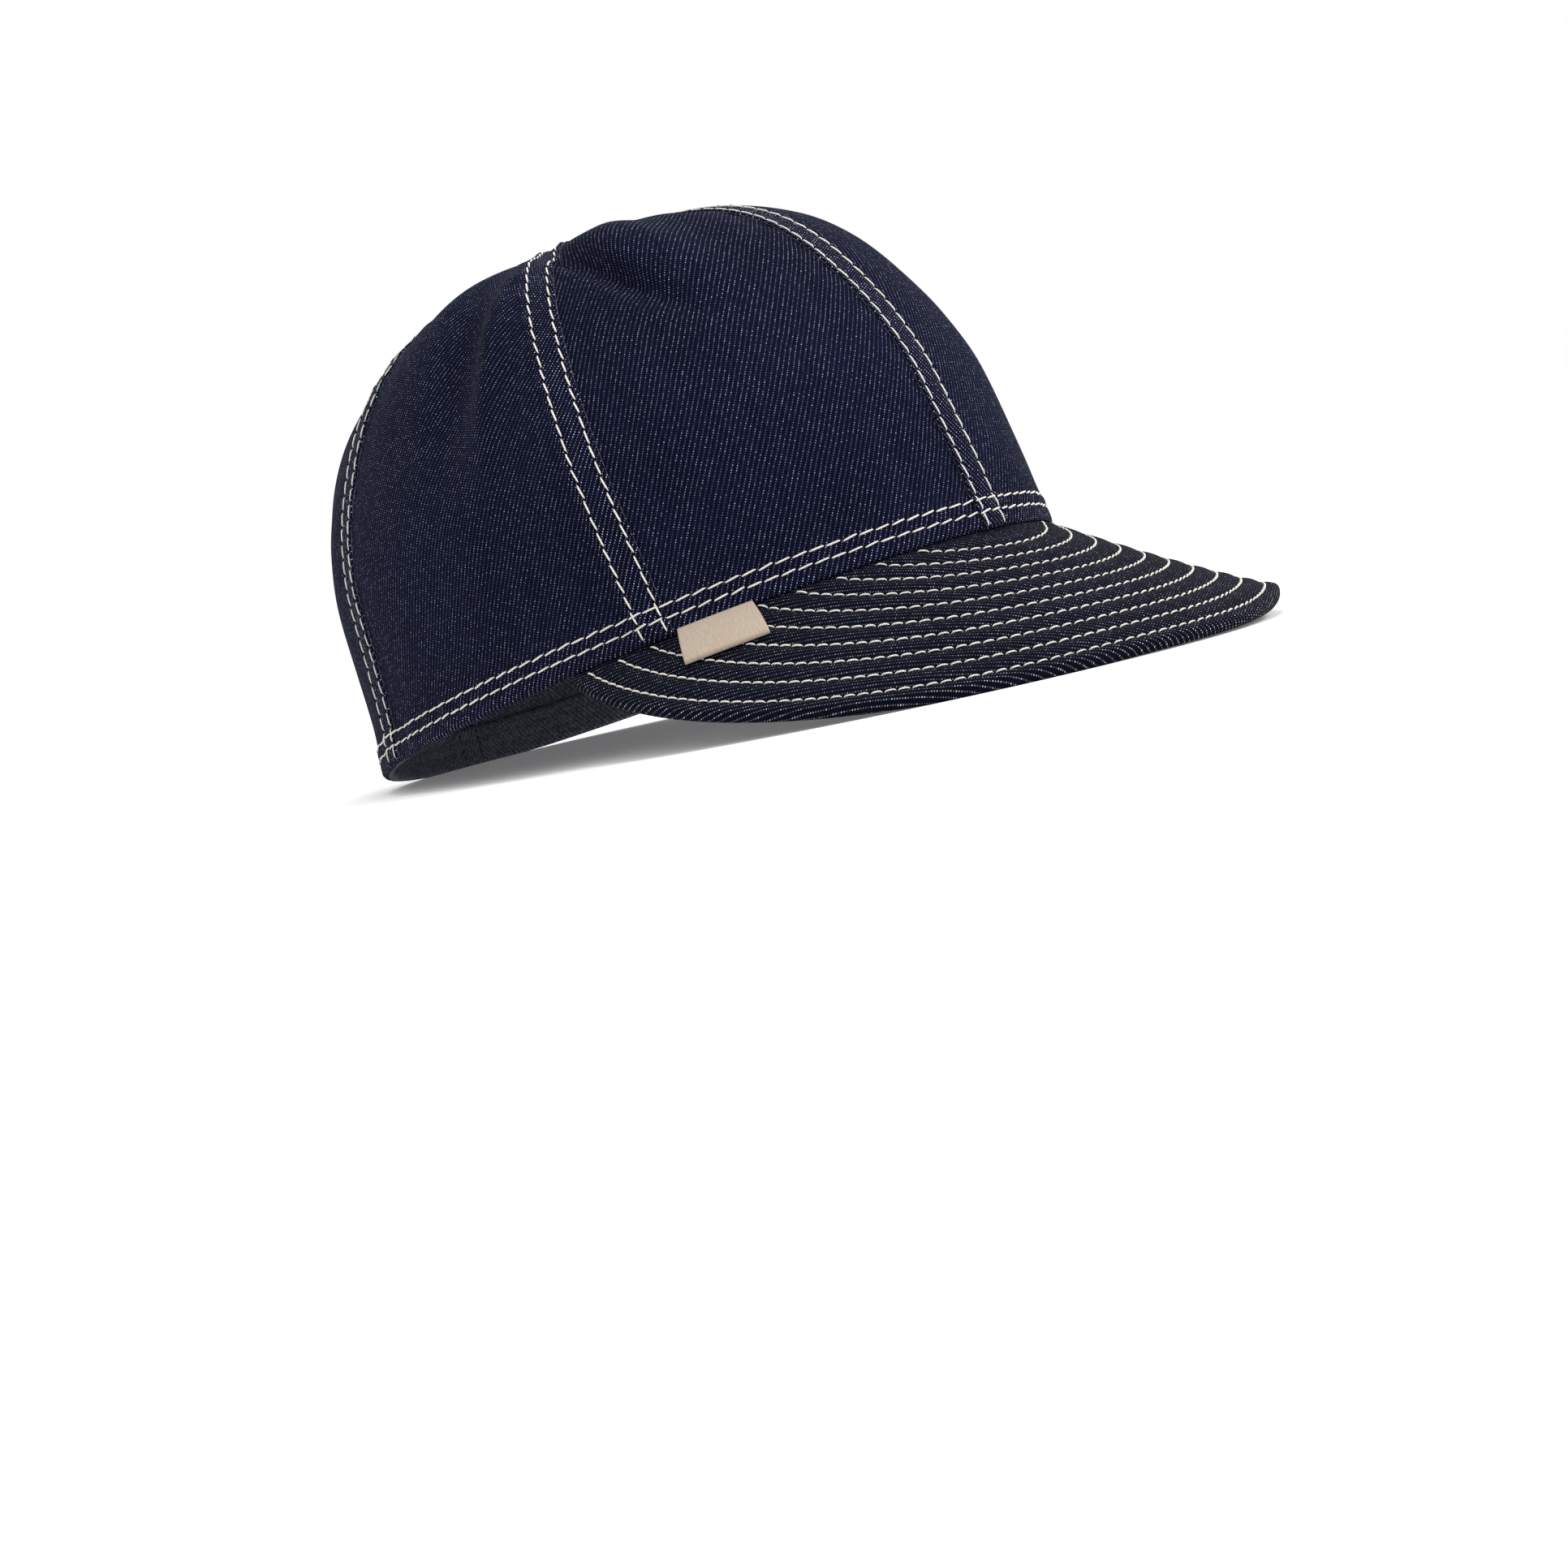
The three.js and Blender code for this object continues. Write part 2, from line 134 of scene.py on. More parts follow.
# Folds of the cloth. low, top: degrees at the fold's two ends. width, depth: shares of
# RIM_HALF_WIDTH, depth inward where negative. start, end: shares of the way from rim to top.
FOLD_COLUMNS = ("low", "top", "width", "depth", "start", "end")
FOLDS = np.array([
    (1, 74, 0.042, -0.056, 0.40, 0.86),
    (4, 77, 0.016, -0.020, 0.42, 0.84),
    (-9, 64, 0.110, 0.034, 0.42, 0.84),
    (85, 60, 0.050, 0.030, 0.22, 0.84),
    (91, 73, 0.080, -0.046, 0.22, 0.92),
    (132, 142, 0.110, -0.028, 0.40, 0.92),
    (172, 164, 0.120, -0.020, 0.36, 0.88),
    (-152, -146, 0.100, -0.030, 0.42, 0.92),
    (-96, -86, 0.085, -0.036, 0.34, 0.92),
    (-30, -44, 0.070, -0.030, 0.46, 0.90),
    (-13, -10, 0.170, -0.020, 0.06, 0.48),
])

UP = np.array((0.0, 0.0, 1.0))
SLOPE_STEP = 0.002
random = np.random.default_rng(7)


# Shapes shared with the solids

def unit(vectors):
    return vectors / np.linalg.norm(vectors, axis=-1, keepdims=True)


def smoothstep(low, high, value):
    t = np.clip((value - low) / (high - low), 0, 1)
    return t * t * (3 - 2 * t)


def smooth_curve(keys, values):
    """A curve through a table's column with no overshoot between rows."""
    rise = np.diff(values) / np.diff(keys)
    slopes = np.empty_like(values)
    slopes[0], slopes[-1] = rise[0], rise[-1]
    product = rise[:-1] * rise[1:]
    slopes[1:-1] = np.where(product > 0, 2 * product / np.where(product > 0, rise[:-1] + rise[1:], 1), 0)

    def curve(key):
        x = np.clip(key, keys[0], keys[-1])
        i = np.clip(np.searchsorted(keys, x) - 1, 0, len(keys) - 2)
        span = keys[i + 1] - keys[i]
        t = (x - keys[i]) / span
        ease = t * t * (3 - 2 * t)
        start = t * (1 - t) ** 2 * span * slopes[i]
        end = t * t * (t - 1) * span * slopes[i + 1]
        return values[i] * (1 - ease) + values[i + 1] * ease + start + end
    return curve


section = {name: SECTIONS[:, i] for i, name in enumerate(SECTION_COLUMNS)}
inward_steps = -(np.diff(section["front"]) * RIM_HALF_LENGTH + np.diff(section["side"]) * RIM_HALF_WIDTH) / 2
upward_steps = np.diff(section["up"]) * CROWN_HEIGHT
section_keys = np.concatenate(([0], np.cumsum(np.hypot(inward_steps, upward_steps))))
PROFILE_LENGTH = section_keys[-1]
section_at = {name: smooth_curve(section_keys / PROFILE_LENGTH, values) for name, values in section.items()}


def even_crown(angle, share):
    """The crown's even surface, before the panels puff and fold."""
    angle, share = np.broadcast_arrays(np.asarray(angle, float), np.asarray(share, float))
    turned = angle + np.radians(section_at["swing"](share)) * np.sin(angle)
    ahead, aside = np.cos(turned), np.sin(turned)
    lengthwise = np.where(ahead > 0, section_at["front"](share), section_at["back"](share))
    reach = lengthwise * ahead ** 2 + section_at["side"](share) * aside ** 2
    return np.stack((-RIM_HALF_WIDTH * aside * reach, -RIM_HALF_LENGTH * ahead * reach,
                     section_at["up"](share) * CROWN_HEIGHT), axis=-1)


def outward(surface, angle, share):
    inner = np.minimum(share, 1 - 2 * SLOPE_STEP)
    along = surface(angle, inner + SLOPE_STEP) - surface(angle, np.maximum(inner - SLOPE_STEP, 0))
    across = surface(angle + SLOPE_STEP, inner) - surface(angle - SLOPE_STEP, inner)
    return unit(np.cross(along, across))


def fold_depth(angle, share):
    even = even_crown(angle, share)
    radius = np.hypot(even[..., 0], even[..., 1])
    depth = np.zeros_like(radius)
    for row in FOLDS:
        fold = dict(zip(FOLD_COLUMNS, row))
        middle = np.radians(fold["low"] + (fold["top"] - fold["low"]) * share)
        turn = np.arctan2(np.sin(angle - middle), np.cos(angle - middle))
        away = turn * radius / (fold["width"] * RIM_HALF_WIDTH)
        t = np.clip((share - fold["start"]) / (fold["end"] - fold["start"]), 0, 1)
        depth += fold["depth"] * RIM_HALF_WIDTH * np.exp(-away ** 2) * np.sin(math.pi * t) ** 2
    return depth


def crown(angle, share):
    """The crown's outer face with its puffed panels and folds."""
    puff = section_at["puff"](share) * RIM_HALF_WIDTH * np.abs(np.sin(PANELS / 2 * angle))
    height = puff + fold_depth(angle, share) + ripples(angle, share)
    return even_crown(angle, share) + outward(even_crown, angle, share) * height[..., None]


def rate_at(angle, share):
    """Millimetres across the crown for each radian round it."""
    ahead = even_crown(angle + SLOPE_STEP, share)
    behind = even_crown(angle - SLOPE_STEP, share)
    return np.linalg.norm(ahead - behind, axis=-1) / (2 * SLOPE_STEP)


# Small movements of the cloth: each wave has its angle and share frequencies, its phase and height.
WAVES = 14
wave_turns = random.integers(3, 22, WAVES)
wave_climbs = random.uniform(-16, 16, WAVES)
wave_phases = random.uniform(0, 2 * math.pi, WAVES)
wave_heights = random.uniform(0.04, 0.13, WAVES)


def ripples(angle, share):
    total = 0
    for turns, climbs, phase, height in zip(wave_turns, wave_climbs, wave_phases, wave_heights):
        total = total + height * np.sin(turns * angle + climbs * share + phase)
    return total * smoothstep(0.02, 0.12, share) * smoothstep(1, 0.9, share)


def seam_distance(angle, share):
    """Signed millimetres across the crown from the nearest seam, and the strip's narrowing there."""
    seam = np.round(angle / PANEL_ANGLE) * PANEL_ANGLE
    rate = rate_at(seam, share)
    return (angle - seam) * rate, squeeze_at(rate)


def squeeze_at(rate):
    return np.minimum(1, WIDEST_HALF_STRIP * PANEL_ANGLE * rate / STRIP_HALF)


def row_dips(distance, rows):
    """How far the thread pulls the cloth in beside stitch rows at these distances."""
    return sum(-STITCH_DIP * np.exp(-((distance - row) / DIP_WIDTH) ** 2) for row in rows)


SEAM_ROWS = (-SEAM_GAUGE / 2, SEAM_GAUGE / 2)


def strip_height(across):
    """Height of a felled seam's strip over the cloth, by distance from its folded side to its soft one."""
    into_lip = np.clip((across + STRIP_HALF) / LIP_RADIUS, 0, 1)
    lip = STRIP_RISE - LIP_RADIUS * (1 - np.sqrt(1 - (1 - into_lip) ** 2))
    soft = 1 - smoothstep(STRIP_HALF - 0.9, STRIP_HALF + 1.1, across)
    crowned = 0.12 * np.cos(np.clip(across / STRIP_HALF, -1, 1) * math.pi / 2)
    return (lip + crowned) * soft + row_dips(across, SEAM_ROWS)


PUCKER_RISE = 0.2


def puckers(across, along):
    """Short waves beside a seam where the stitches gather the cloth."""
    fade = np.exp(-((np.abs(across) - STRIP_HALF) / 5) ** 2)
    return PUCKER_RISE * fade * np.sin(2 * math.pi * along / (2.6 * SEAM_PITCH) + 1.3 * np.sin(along / 17))


def hem_outer(height):
    """How far the turned hem's face stands out, by height above its edge."""
    bulge = HEM_BULGE * (1 - smoothstep(HEM_FACE - 2, HEM_FACE, height))
    return bulge + row_dips(height, HEM_STITCH_ROWS)


def hem_puckers(angle, height):
    fade = np.exp(-((height - 6) / 5) ** 2)
    along = angle * (RIM_HALF_LENGTH + RIM_HALF_WIDTH) / 2
    return PUCKER_RISE * fade * np.sin(2 * math.pi * along / (2.3 * SEAM_PITCH) + 1.7 * np.sin(along / 13))


def hem_round(height):
    """How far the hem's rounded lower edge draws in from both faces."""
    radius = HEM_CLOTH / 2 - 0.15
    rest = 1 - np.clip(height / radius, 0, 1)
    return radius * (1 - np.sqrt(1 - rest ** 2))


def edge_arc(height):
    """How much longer the cloth is round the hem's lower edge than its height there."""
    radius = HEM_CLOTH / 2 - 0.15
    rest = 1 - np.clip(height / radius, 0, 1)
    return radius * (np.arcsin(rest) - rest)


def cloth_inward(height):
    hem = (HEM_CLOTH - PANEL_CLOTH) * (1 - smoothstep(HEM_TURN - 1, HEM_TURN, height))
    return PANEL_CLOTH + hem


# The peak's cone

PEAK_APEX = np.array((0, -PEAK_CUT["apex_forward"] * RIM_HALF_LENGTH,
                      (1 - PEAK_CUT["apex_forward"]) * RIM_HALF_LENGTH * math.tan(PEAK_DROOP)))


def slant_line(angle):
    line = even_crown(angle, 0.0) - PEAK_APEX
    length = np.linalg.norm(line, axis=-1)
    return length, line / length[..., None]


FRONT_SLANT = float(slant_line(np.zeros(1))[0][0])
ELLIPSE_CENTRE = PEAK_CUT["centre"] * FRONT_SLANT
ELLIPSE_LENGTH = FRONT_SLANT + PEAK_LENGTH - ELLIPSE_CENTRE
ELLIPSE_WIDTH = PEAK_CUT["half_width"] * RIM_HALF_WIDTH

cone_angles = np.linspace(0, math.pi / 2, 2000)
cone_lines = slant_line(cone_angles)[1]
cone_turns = 2 * np.arcsin(np.linalg.norm(np.diff(cone_lines, axis=0), axis=1) / 2)
cone_flat = np.concatenate(([0], np.cumsum(cone_turns)))


def flat_angle(angle):
    """The signed angle from the front slant line once the cone is laid flat."""
    return np.sign(angle) * np.interp(np.abs(angle), cone_angles, cone_flat)


def round_angle(flat):
    return np.sign(flat) * np.interp(np.abs(flat), cone_flat, cone_angles)


def peak_slope(angle):
    direction = slant_line(angle)[1]
    return np.arctan2(-direction[..., 2], np.hypot(direction[..., 0], direction[..., 1]))


def peak_reach(angle):
    """The peak's length from rim to edge along a slant line."""
    flat = flat_angle(angle)
    a = (np.sin(flat) / ELLIPSE_WIDTH) ** 2 + (np.cos(flat) / ELLIPSE_LENGTH) ** 2
    b = ELLIPSE_CENTRE * np.cos(flat) / ELLIPSE_LENGTH ** 2
    c = (ELLIPSE_CENTRE / ELLIPSE_LENGTH) ** 2 - 1
    return (b + np.sqrt(b * b - a * c)) / a - slant_line(angle)[0]


PEAK_END = float(np.interp(-HEM_CLOTH, -peak_reach(cone_angles), cone_angles))


def edge_distance(angle, slant):
    """Distance from the peak's edge in the flat cut, for places on the cone's slant lines."""
    flat = flat_angle(angle)
    length = slant_line(angle)[0] + slant
    x, y = length * np.sin(flat), length * np.cos(flat) - ELLIPSE_CENTRE
    turn = np.arctan2(x / ELLIPSE_WIDTH, y / ELLIPSE_LENGTH)
    for _ in range(6):
        sine, cosine = np.sin(turn), np.cos(turn)
        gap_x, gap_y = ELLIPSE_WIDTH * sine - x, ELLIPSE_LENGTH * cosine - y
        slope_x, slope_y = ELLIPSE_WIDTH * cosine, -ELLIPSE_LENGTH * sine
        value = gap_x * slope_x + gap_y * slope_y
        curve = slope_x ** 2 + slope_y ** 2 - gap_x * ELLIPSE_WIDTH * sine - gap_y * ELLIPSE_LENGTH * cosine
        turn = turn - value / curve
    return np.hypot(ELLIPSE_WIDTH * np.sin(turn) - x, ELLIPSE_LENGTH * np.cos(turn) - y)


def quilt_line(distance, samples=900):
    """Angle and slant of points along a line that runs at one distance inside the peak's edge."""
    turn = np.linspace(-0.62 * math.pi, 0.62 * math.pi, samples)
    x, y = ELLIPSE_WIDTH * np.sin(turn), ELLIPSE_LENGTH * np.cos(turn)
    across, ahead = unit(np.stack((np.sin(turn) / ELLIPSE_WIDTH, np.cos(turn) / ELLIPSE_LENGTH), axis=-1)).T
    x, y = x - distance * across, y - distance * ahead + ELLIPSE_CENTRE
    angle = round_angle(np.arctan2(x, y))
    slant = np.hypot(x, y) - slant_line(angle)[0]
    shown = (slant > GAP) & (np.abs(angle) < PEAK_END)
    return angle[shown], slant[shown]


QUILT_DISTANCES = QUILT_FIRST + SEAM_GAUGE * np.arange(QUILT_ROWS)


def quilt_height(distance, slant):
    """The quilted peak's height over its even face: ridges between the rows of stitches."""
    phase = (distance - QUILT_FIRST) / SEAM_GAUGE
    ridge = QUILT_RIDGE * (np.abs(np.sin(math.pi * phase)) ** 0.8 - 0.75)
    band = smoothstep(0.95 * QUILT_FIRST, 0.55 * QUILT_FIRST, distance)
    beyond = smoothstep(QUILT_ROWS - 0.6, QUILT_ROWS - 0.2, phase)
    quilted = ridge * (1 - band) * (1 - beyond) + EDGE_BAND_RISE * band
    return quilted * smoothstep(-1, 3, slant)


def peak_frame(angle):
    """Rim point, level direction away from it, slope and bend of the peak at an angle."""
    rim = even_crown(angle, 0.0)
    direction = slant_line(angle)[1]
    away = unit(direction * np.array((1, 1, 0)))
    wall = HEM_CLOTH / (outward(even_crown, angle, np.zeros_like(angle)) * away).sum(-1)
    return rim, away, peak_slope(angle), GAP + PEAK_STACK / 2, wall


def slope_place(slant, slope, bend):
    return (slant * np.cos(slope) - bend * np.sin(slope), -slant * np.sin(slope) - bend * np.cos(slope), slope)


def peak_point(angle, place, offset):
    """A point on the peak, offset from its middle layer at a place in the upright slice at an angle."""
    rim, away = peak_frame(angle)[:2]
    out, up, turn = place
    level = (out + offset * np.sin(turn))[..., None] * away
    return rim + level + (up + offset * np.cos(turn))[..., None] * UP


def on_slope(angle, slant, offset):
    slope, bend = peak_frame(angle)[2:4]
    return peak_point(angle, slope_place(slant, slope, bend), offset)


# Meshes

def shell(outer, inner):
    """A closed shell between two grids of points, joined round their border."""
    columns, rows = outer.shape[:2]
    vertices = np.concatenate((outer.reshape(-1, 3), inner.reshape(-1, 3)))
    index = np.arange(columns * rows).reshape(columns, rows)
    face = np.stack((index[:-1, :-1], index[:-1, 1:], index[1:, 1:], index[1:, :-1]), axis=-1).reshape(-1, 4)
    border = np.concatenate((index[:-1, 0], index[-1, :-1], index[:0:-1, -1], index[0, :0:-1]))
    following = np.roll(border, -1)
    size = columns * rows
    wall = np.stack((border, following, following + size, border + size), axis=-1)
    return vertices, np.concatenate((face, face[:, ::-1] + size, wall))


def settle(points):
    """From the worn position to the floor, with the cloth pressed flat where it rests."""
    turned = points @ REST_TURN.T + np.array((0, REST_SHIFT, REST_LIFT))
    turned[..., 2] = np.maximum(turned[..., 2], 0)
    return turned


def make_piece(name, nodes, material, vertices, faces, uv, values=None):
    """A named mesh in the row frame that rides on the cap and stands for its CAD nodes."""
    mesh = bpy.data.meshes.new(name)
    mesh.from_pydata(settle(vertices) * MM, [], faces)
    mesh.polygons.foreach_set("use_smooth", np.ones(len(mesh.polygons), bool))
    corner = np.empty(len(mesh.loops), np.int32)
    mesh.loops.foreach_get("vertex_index", corner)
    mesh.uv_layers.new(name="cloth").uv.foreach_set("vector", uv[corner].ravel().astype(np.float32))
    for key, value in (values or {}).items():
        mesh.attributes.new(key, "FLOAT", "POINT").data.foreach_set("value", value.ravel().astype(np.float32))
    mesh.materials.append(material)
    piece = bpy.data.objects.new(name, mesh)
    bpy.context.scene.collection.objects.link(piece)
    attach(piece, "root")
    if nodes:
        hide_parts(*nodes)
    return piece


# Crown panels

STRIP_COLUMNS = np.array((-4.7, -4.66, -4.55, -4.4, -4.2, -3.9, -3.6, -3.35, -3.175, -3.0, -2.7, -2.2, -1.2, 0,
                          1.2, 2.2, 2.7, 3.0, 3.175, 3.35, 3.6, 4.0, 4.5, 5.0, 5.6, 6.4))
NEXT_COLUMNS = np.array((-8.0, -6.6, -5.6, -4.9, -4.3, STRIP_TUCK - STRIP_HALF))
MIDDLE_COLUMNS = 52
HEM_ROW_HEIGHTS = np.array((0, 0.06, 0.2, 0.42, 0.8, 1.3, 2.0, 2.8, 3.4, 3.8, 4.1, 4.4, 4.7, 5.0, 5.4, 6.0, 6.6, 7.0,
                            7.3, 7.6, 7.9, 8.3, 8.9, 9.6, 10.4, 11.0, 11.5, 12.2))
CROWN_ROWS = 132


def crown_shares():
    above = np.linspace(HEM_ROW_HEIGHTS[-1] + 1, PROFILE_LENGTH - APEX_HOLE, CROWN_ROWS)
    return np.concatenate((HEM_ROW_HEIGHTS, above)) / PROFILE_LENGTH


SHARES = crown_shares()


def over_peak(points, angle):
    """Lifts the hem's lower edge on to the peak where the peak runs out from under it."""
    rim, away, slope, _, _ = peak_frame(angle)
    inward = -((points - rim) * away).sum(-1)
    front = np.arctan2(np.sin(angle), np.cos(angle))
    fade = 1 - smoothstep(PEAK_END, PEAK_END + math.radians(4), np.abs(front))
    floor = np.clip(inward, 0, HEM_CLOTH + 1) * np.tan(slope) * fade - 0.1
    points[..., 2] = np.where(fade > 0, np.maximum(points[..., 2], floor), points[..., 2])
    return points


def crown_faces(angle, share, raised):
    """Outer and inner faces of cloth over the crown's surface, raised outside by some height."""
    height = share * PROFILE_LENGTH
    normal = outward(crown, angle, share)
    base = crown(angle, share)
    outer_rise = hem_outer(height) + hem_puckers(angle, height) + raised - hem_round(height)
    level = unit(outward(even_crown, angle, share) * np.array((1, 1, 0)))
    inner_way = np.where((height < HEM_TURN)[..., None], level, outward(even_crown, angle, share))
    inner_fall = cloth_inward(height) + row_dips(height, HEM_STITCH_ROWS) * 0.6 - hem_round(height)
    outer = over_peak(base + normal * outer_rise[..., None], angle)
    inner = over_peak(base - inner_way * inner_fall[..., None], angle)
    return outer, inner, normal


def panel_columns(index):
    """Angles and strip distances of a panel's columns at each row of shares."""
    seam = index * PANEL_ANGLE
    own_rate, next_rate = rate_at(seam, SHARES), rate_at(seam + PANEL_ANGLE, SHARES)
    own_squeeze, next_squeeze = squeeze_at(own_rate), squeeze_at(next_rate)
    own = STRIP_COLUMNS if index not in CENTRE_SEAMS else -NEXT_COLUMNS[::-1]
    first = seam + own[:, None] * own_squeeze / own_rate
    last = seam + PANEL_ANGLE + NEXT_COLUMNS[:, None] * next_squeeze / next_rate
    t = np.linspace(0, 1, MIDDLE_COLUMNS + 2)[1:-1, None]
    middle = first[-1] * (1 - t) + last[0] * t
    angle = np.concatenate((first, middle, last))
    across = (angle - seam) * own_rate / own_squeeze
    return angle, across, own_squeeze


def crown_panel(index, material):
    angle, across, squeeze = panel_columns(index)
    share = np.broadcast_to(SHARES, angle.shape)
    height = share * PROFILE_LENGTH
    has_strip = index not in CENTRE_SEAMS
    raised = puckers((angle - index * PANEL_ANGLE) * rate_at(index * PANEL_ANGLE, share), height)
    if has_strip:
        raised = raised + strip_height(across) * squeeze
    outer, inner, normal = crown_faces(angle, share, raised)
    if has_strip:
        under_lip = (across < STRIP_TUCK / 2 - STRIP_HALF + STRIP_TUCK)[..., None]
        lip_under = crown(angle, share) + normal * (0.08 + np.maximum(hem_outer(height), 0) - hem_round(height))[..., None]
        inner = np.where(under_lip, over_peak(lip_under, angle), inner)
    vertices, faces = shell(outer, inner)
    middle = (index + 0.5) * PANEL_ANGLE
    mean_rate = np.linalg.norm(np.diff(crown(angle, share), axis=0), axis=-1).cumsum(axis=0)
    u = np.concatenate((np.zeros((1, angle.shape[1])), mean_rate))
    centre = np.array([np.interp(middle, angle[:, row], u[:, row]) for row in range(u.shape[1])])
    uv = np.stack((u - centre, height - edge_arc(height)), axis=-1).reshape(-1, 2)
    strip = smoothstep(STRIP_HALF + 0.8, STRIP_HALF, across) * has_strip
    hem = smoothstep(3.5, 1.2, height) * 1.6 + 0.3 * smoothstep(HEM_FACE, HEM_FACE - 1, height)
    worn = np.maximum(strip, hem)
    values = {
        "worn": np.concatenate((worn.ravel(), worn.ravel())),
        "reverse": np.concatenate((np.zeros(angle.size), np.ones(angle.size))),
    }
    name = PANEL_NAMES[index].replace("crown_panel", "denim_panel")
    return make_piece(name, [PANEL_NAMES[index]], material, vertices, faces,
                      np.concatenate((uv, uv)), values)


# The centre seam's strip runs from the front of the rim over the top to the back of the rim.

TOP_SHARE = 0.9
BAND_COLUMNS = np.array((-4.7, -4.66, -4.55, -4.4, -4.2, -3.9, -3.6, -3.35, -3.175, -3.0, -2.7, -2.2, -1.2, 0,
                         1.2, 2.2, 2.7, 3.0, 3.175, 3.35, 3.6, 3.9, 4.2, 4.4, 4.55, 4.66, 4.7))


def place_over_top(x, y):
    """Angle and share of the crown's surface over a point near the top, by halving."""
    turned = np.arctan2(-x / RIM_HALF_WIDTH, -y / RIM_HALF_LENGTH)
    target = np.hypot(x / RIM_HALF_WIDTH, y / RIM_HALF_LENGTH)
    low, high = np.full_like(x, 0.5), np.ones_like(x)
    for _ in range(40):
        share = (low + high) / 2
        lengthwise = np.where(np.cos(turned) > 0, section_at["front"](share), section_at["back"](share))
        reach = lengthwise * np.cos(turned) ** 2 + section_at["side"](share) * np.sin(turned) ** 2
        low, high = np.where(reach > target, share, low), np.where(reach > target, high, share)
    return turned - np.radians(section_at["swing"](share)) * np.sin(turned), share


def centre_place(x, share, back):
    """Angle and share of a point of the centre strip, x to the wearer's left of the middle."""
    seam = math.pi if back else 0
    side = 1 if back else -1
    angle = seam + side * x / rate_at(seam, share)
    y = even_crown(seam, share)[..., 1]
    high_angle, high_share = place_over_top(x, y)
    high = share > TOP_SHARE
    return np.where(high, high_angle, angle), np.where(high, high_share, share)


def band_height(across):
    into_lip = np.clip((STRIP_HALF - np.abs(across)) / LIP_RADIUS, 0, 1)
    lip = STRIP_RISE - LIP_RADIUS * (1 - np.sqrt(1 - (1 - into_lip) ** 2))
    crowned = 0.12 * np.cos(np.clip(across / STRIP_HALF, -1, 1) * math.pi / 2)
    return lip + crowned + row_dips(across, SEAM_ROWS)


def centre_grid(x):
    """Angles and shares of the centre strip's columns, from the front rim over the top to the back."""
    top = np.linspace(SHARES[-1], 1, 4)[1:-1]
    half = np.concatenate((SHARES, top))
    x_front = np.broadcast_to(x[:, None], (len(x), len(half)))
    share = np.broadcast_to(half, x_front.shape)
    front = centre_place(x_front, share, False)
    back = centre_place(x_front, share, True)
    angle = np.concatenate((front[0], back[0][:, ::-1]), axis=1)
    share = np.concatenate((front[1], back[1][:, ::-1]), axis=1)
    return angle, share


def centre_strip(material):
    angle, share = centre_grid(BAND_COLUMNS[::-1])
    across = np.broadcast_to(BAND_COLUMNS[::-1, None], angle.shape)
    height = share * PROFILE_LENGTH
    outer, inner, normal = crown_faces(angle, share, band_height(across))
    lip_under = crown(angle, share) + normal * (0.08 + np.maximum(hem_outer(height), 0) - hem_round(height))[..., None]
    on_cloth = (np.abs(across) > STRIP_HALF - 1.5 * STRIP_TUCK) | (share > TOP_SHARE)
    inner = np.where(on_cloth[..., None], over_peak(lip_under, angle), inner)
    vertices, faces = shell(outer, inner)
    along = np.linalg.norm(np.diff(outer[len(outer) // 2], axis=0), axis=-1).cumsum()
    along = np.broadcast_to(np.concatenate(([0], along)), angle.shape)
    uv = np.stack((across, along), axis=-1).reshape(-1, 2)
    values = {
        "worn": np.ones(2 * angle.size),
        "reverse": np.concatenate((np.zeros(angle.size), np.ones(angle.size))),
    }
    return make_piece("centre_seam_strip", [], material, vertices, faces,
                      np.concatenate((uv, uv)), values)


# The quilted peak

PEAK_COLUMNS = 230
PEAK_ROWS = 150
TUCK_ROWS = 6
BEND_ROWS = 7
EDGE_ROWS = np.array((0, 0.03, 0.1, 0.24, 0.48, 0.8, 1.15, 1.45))


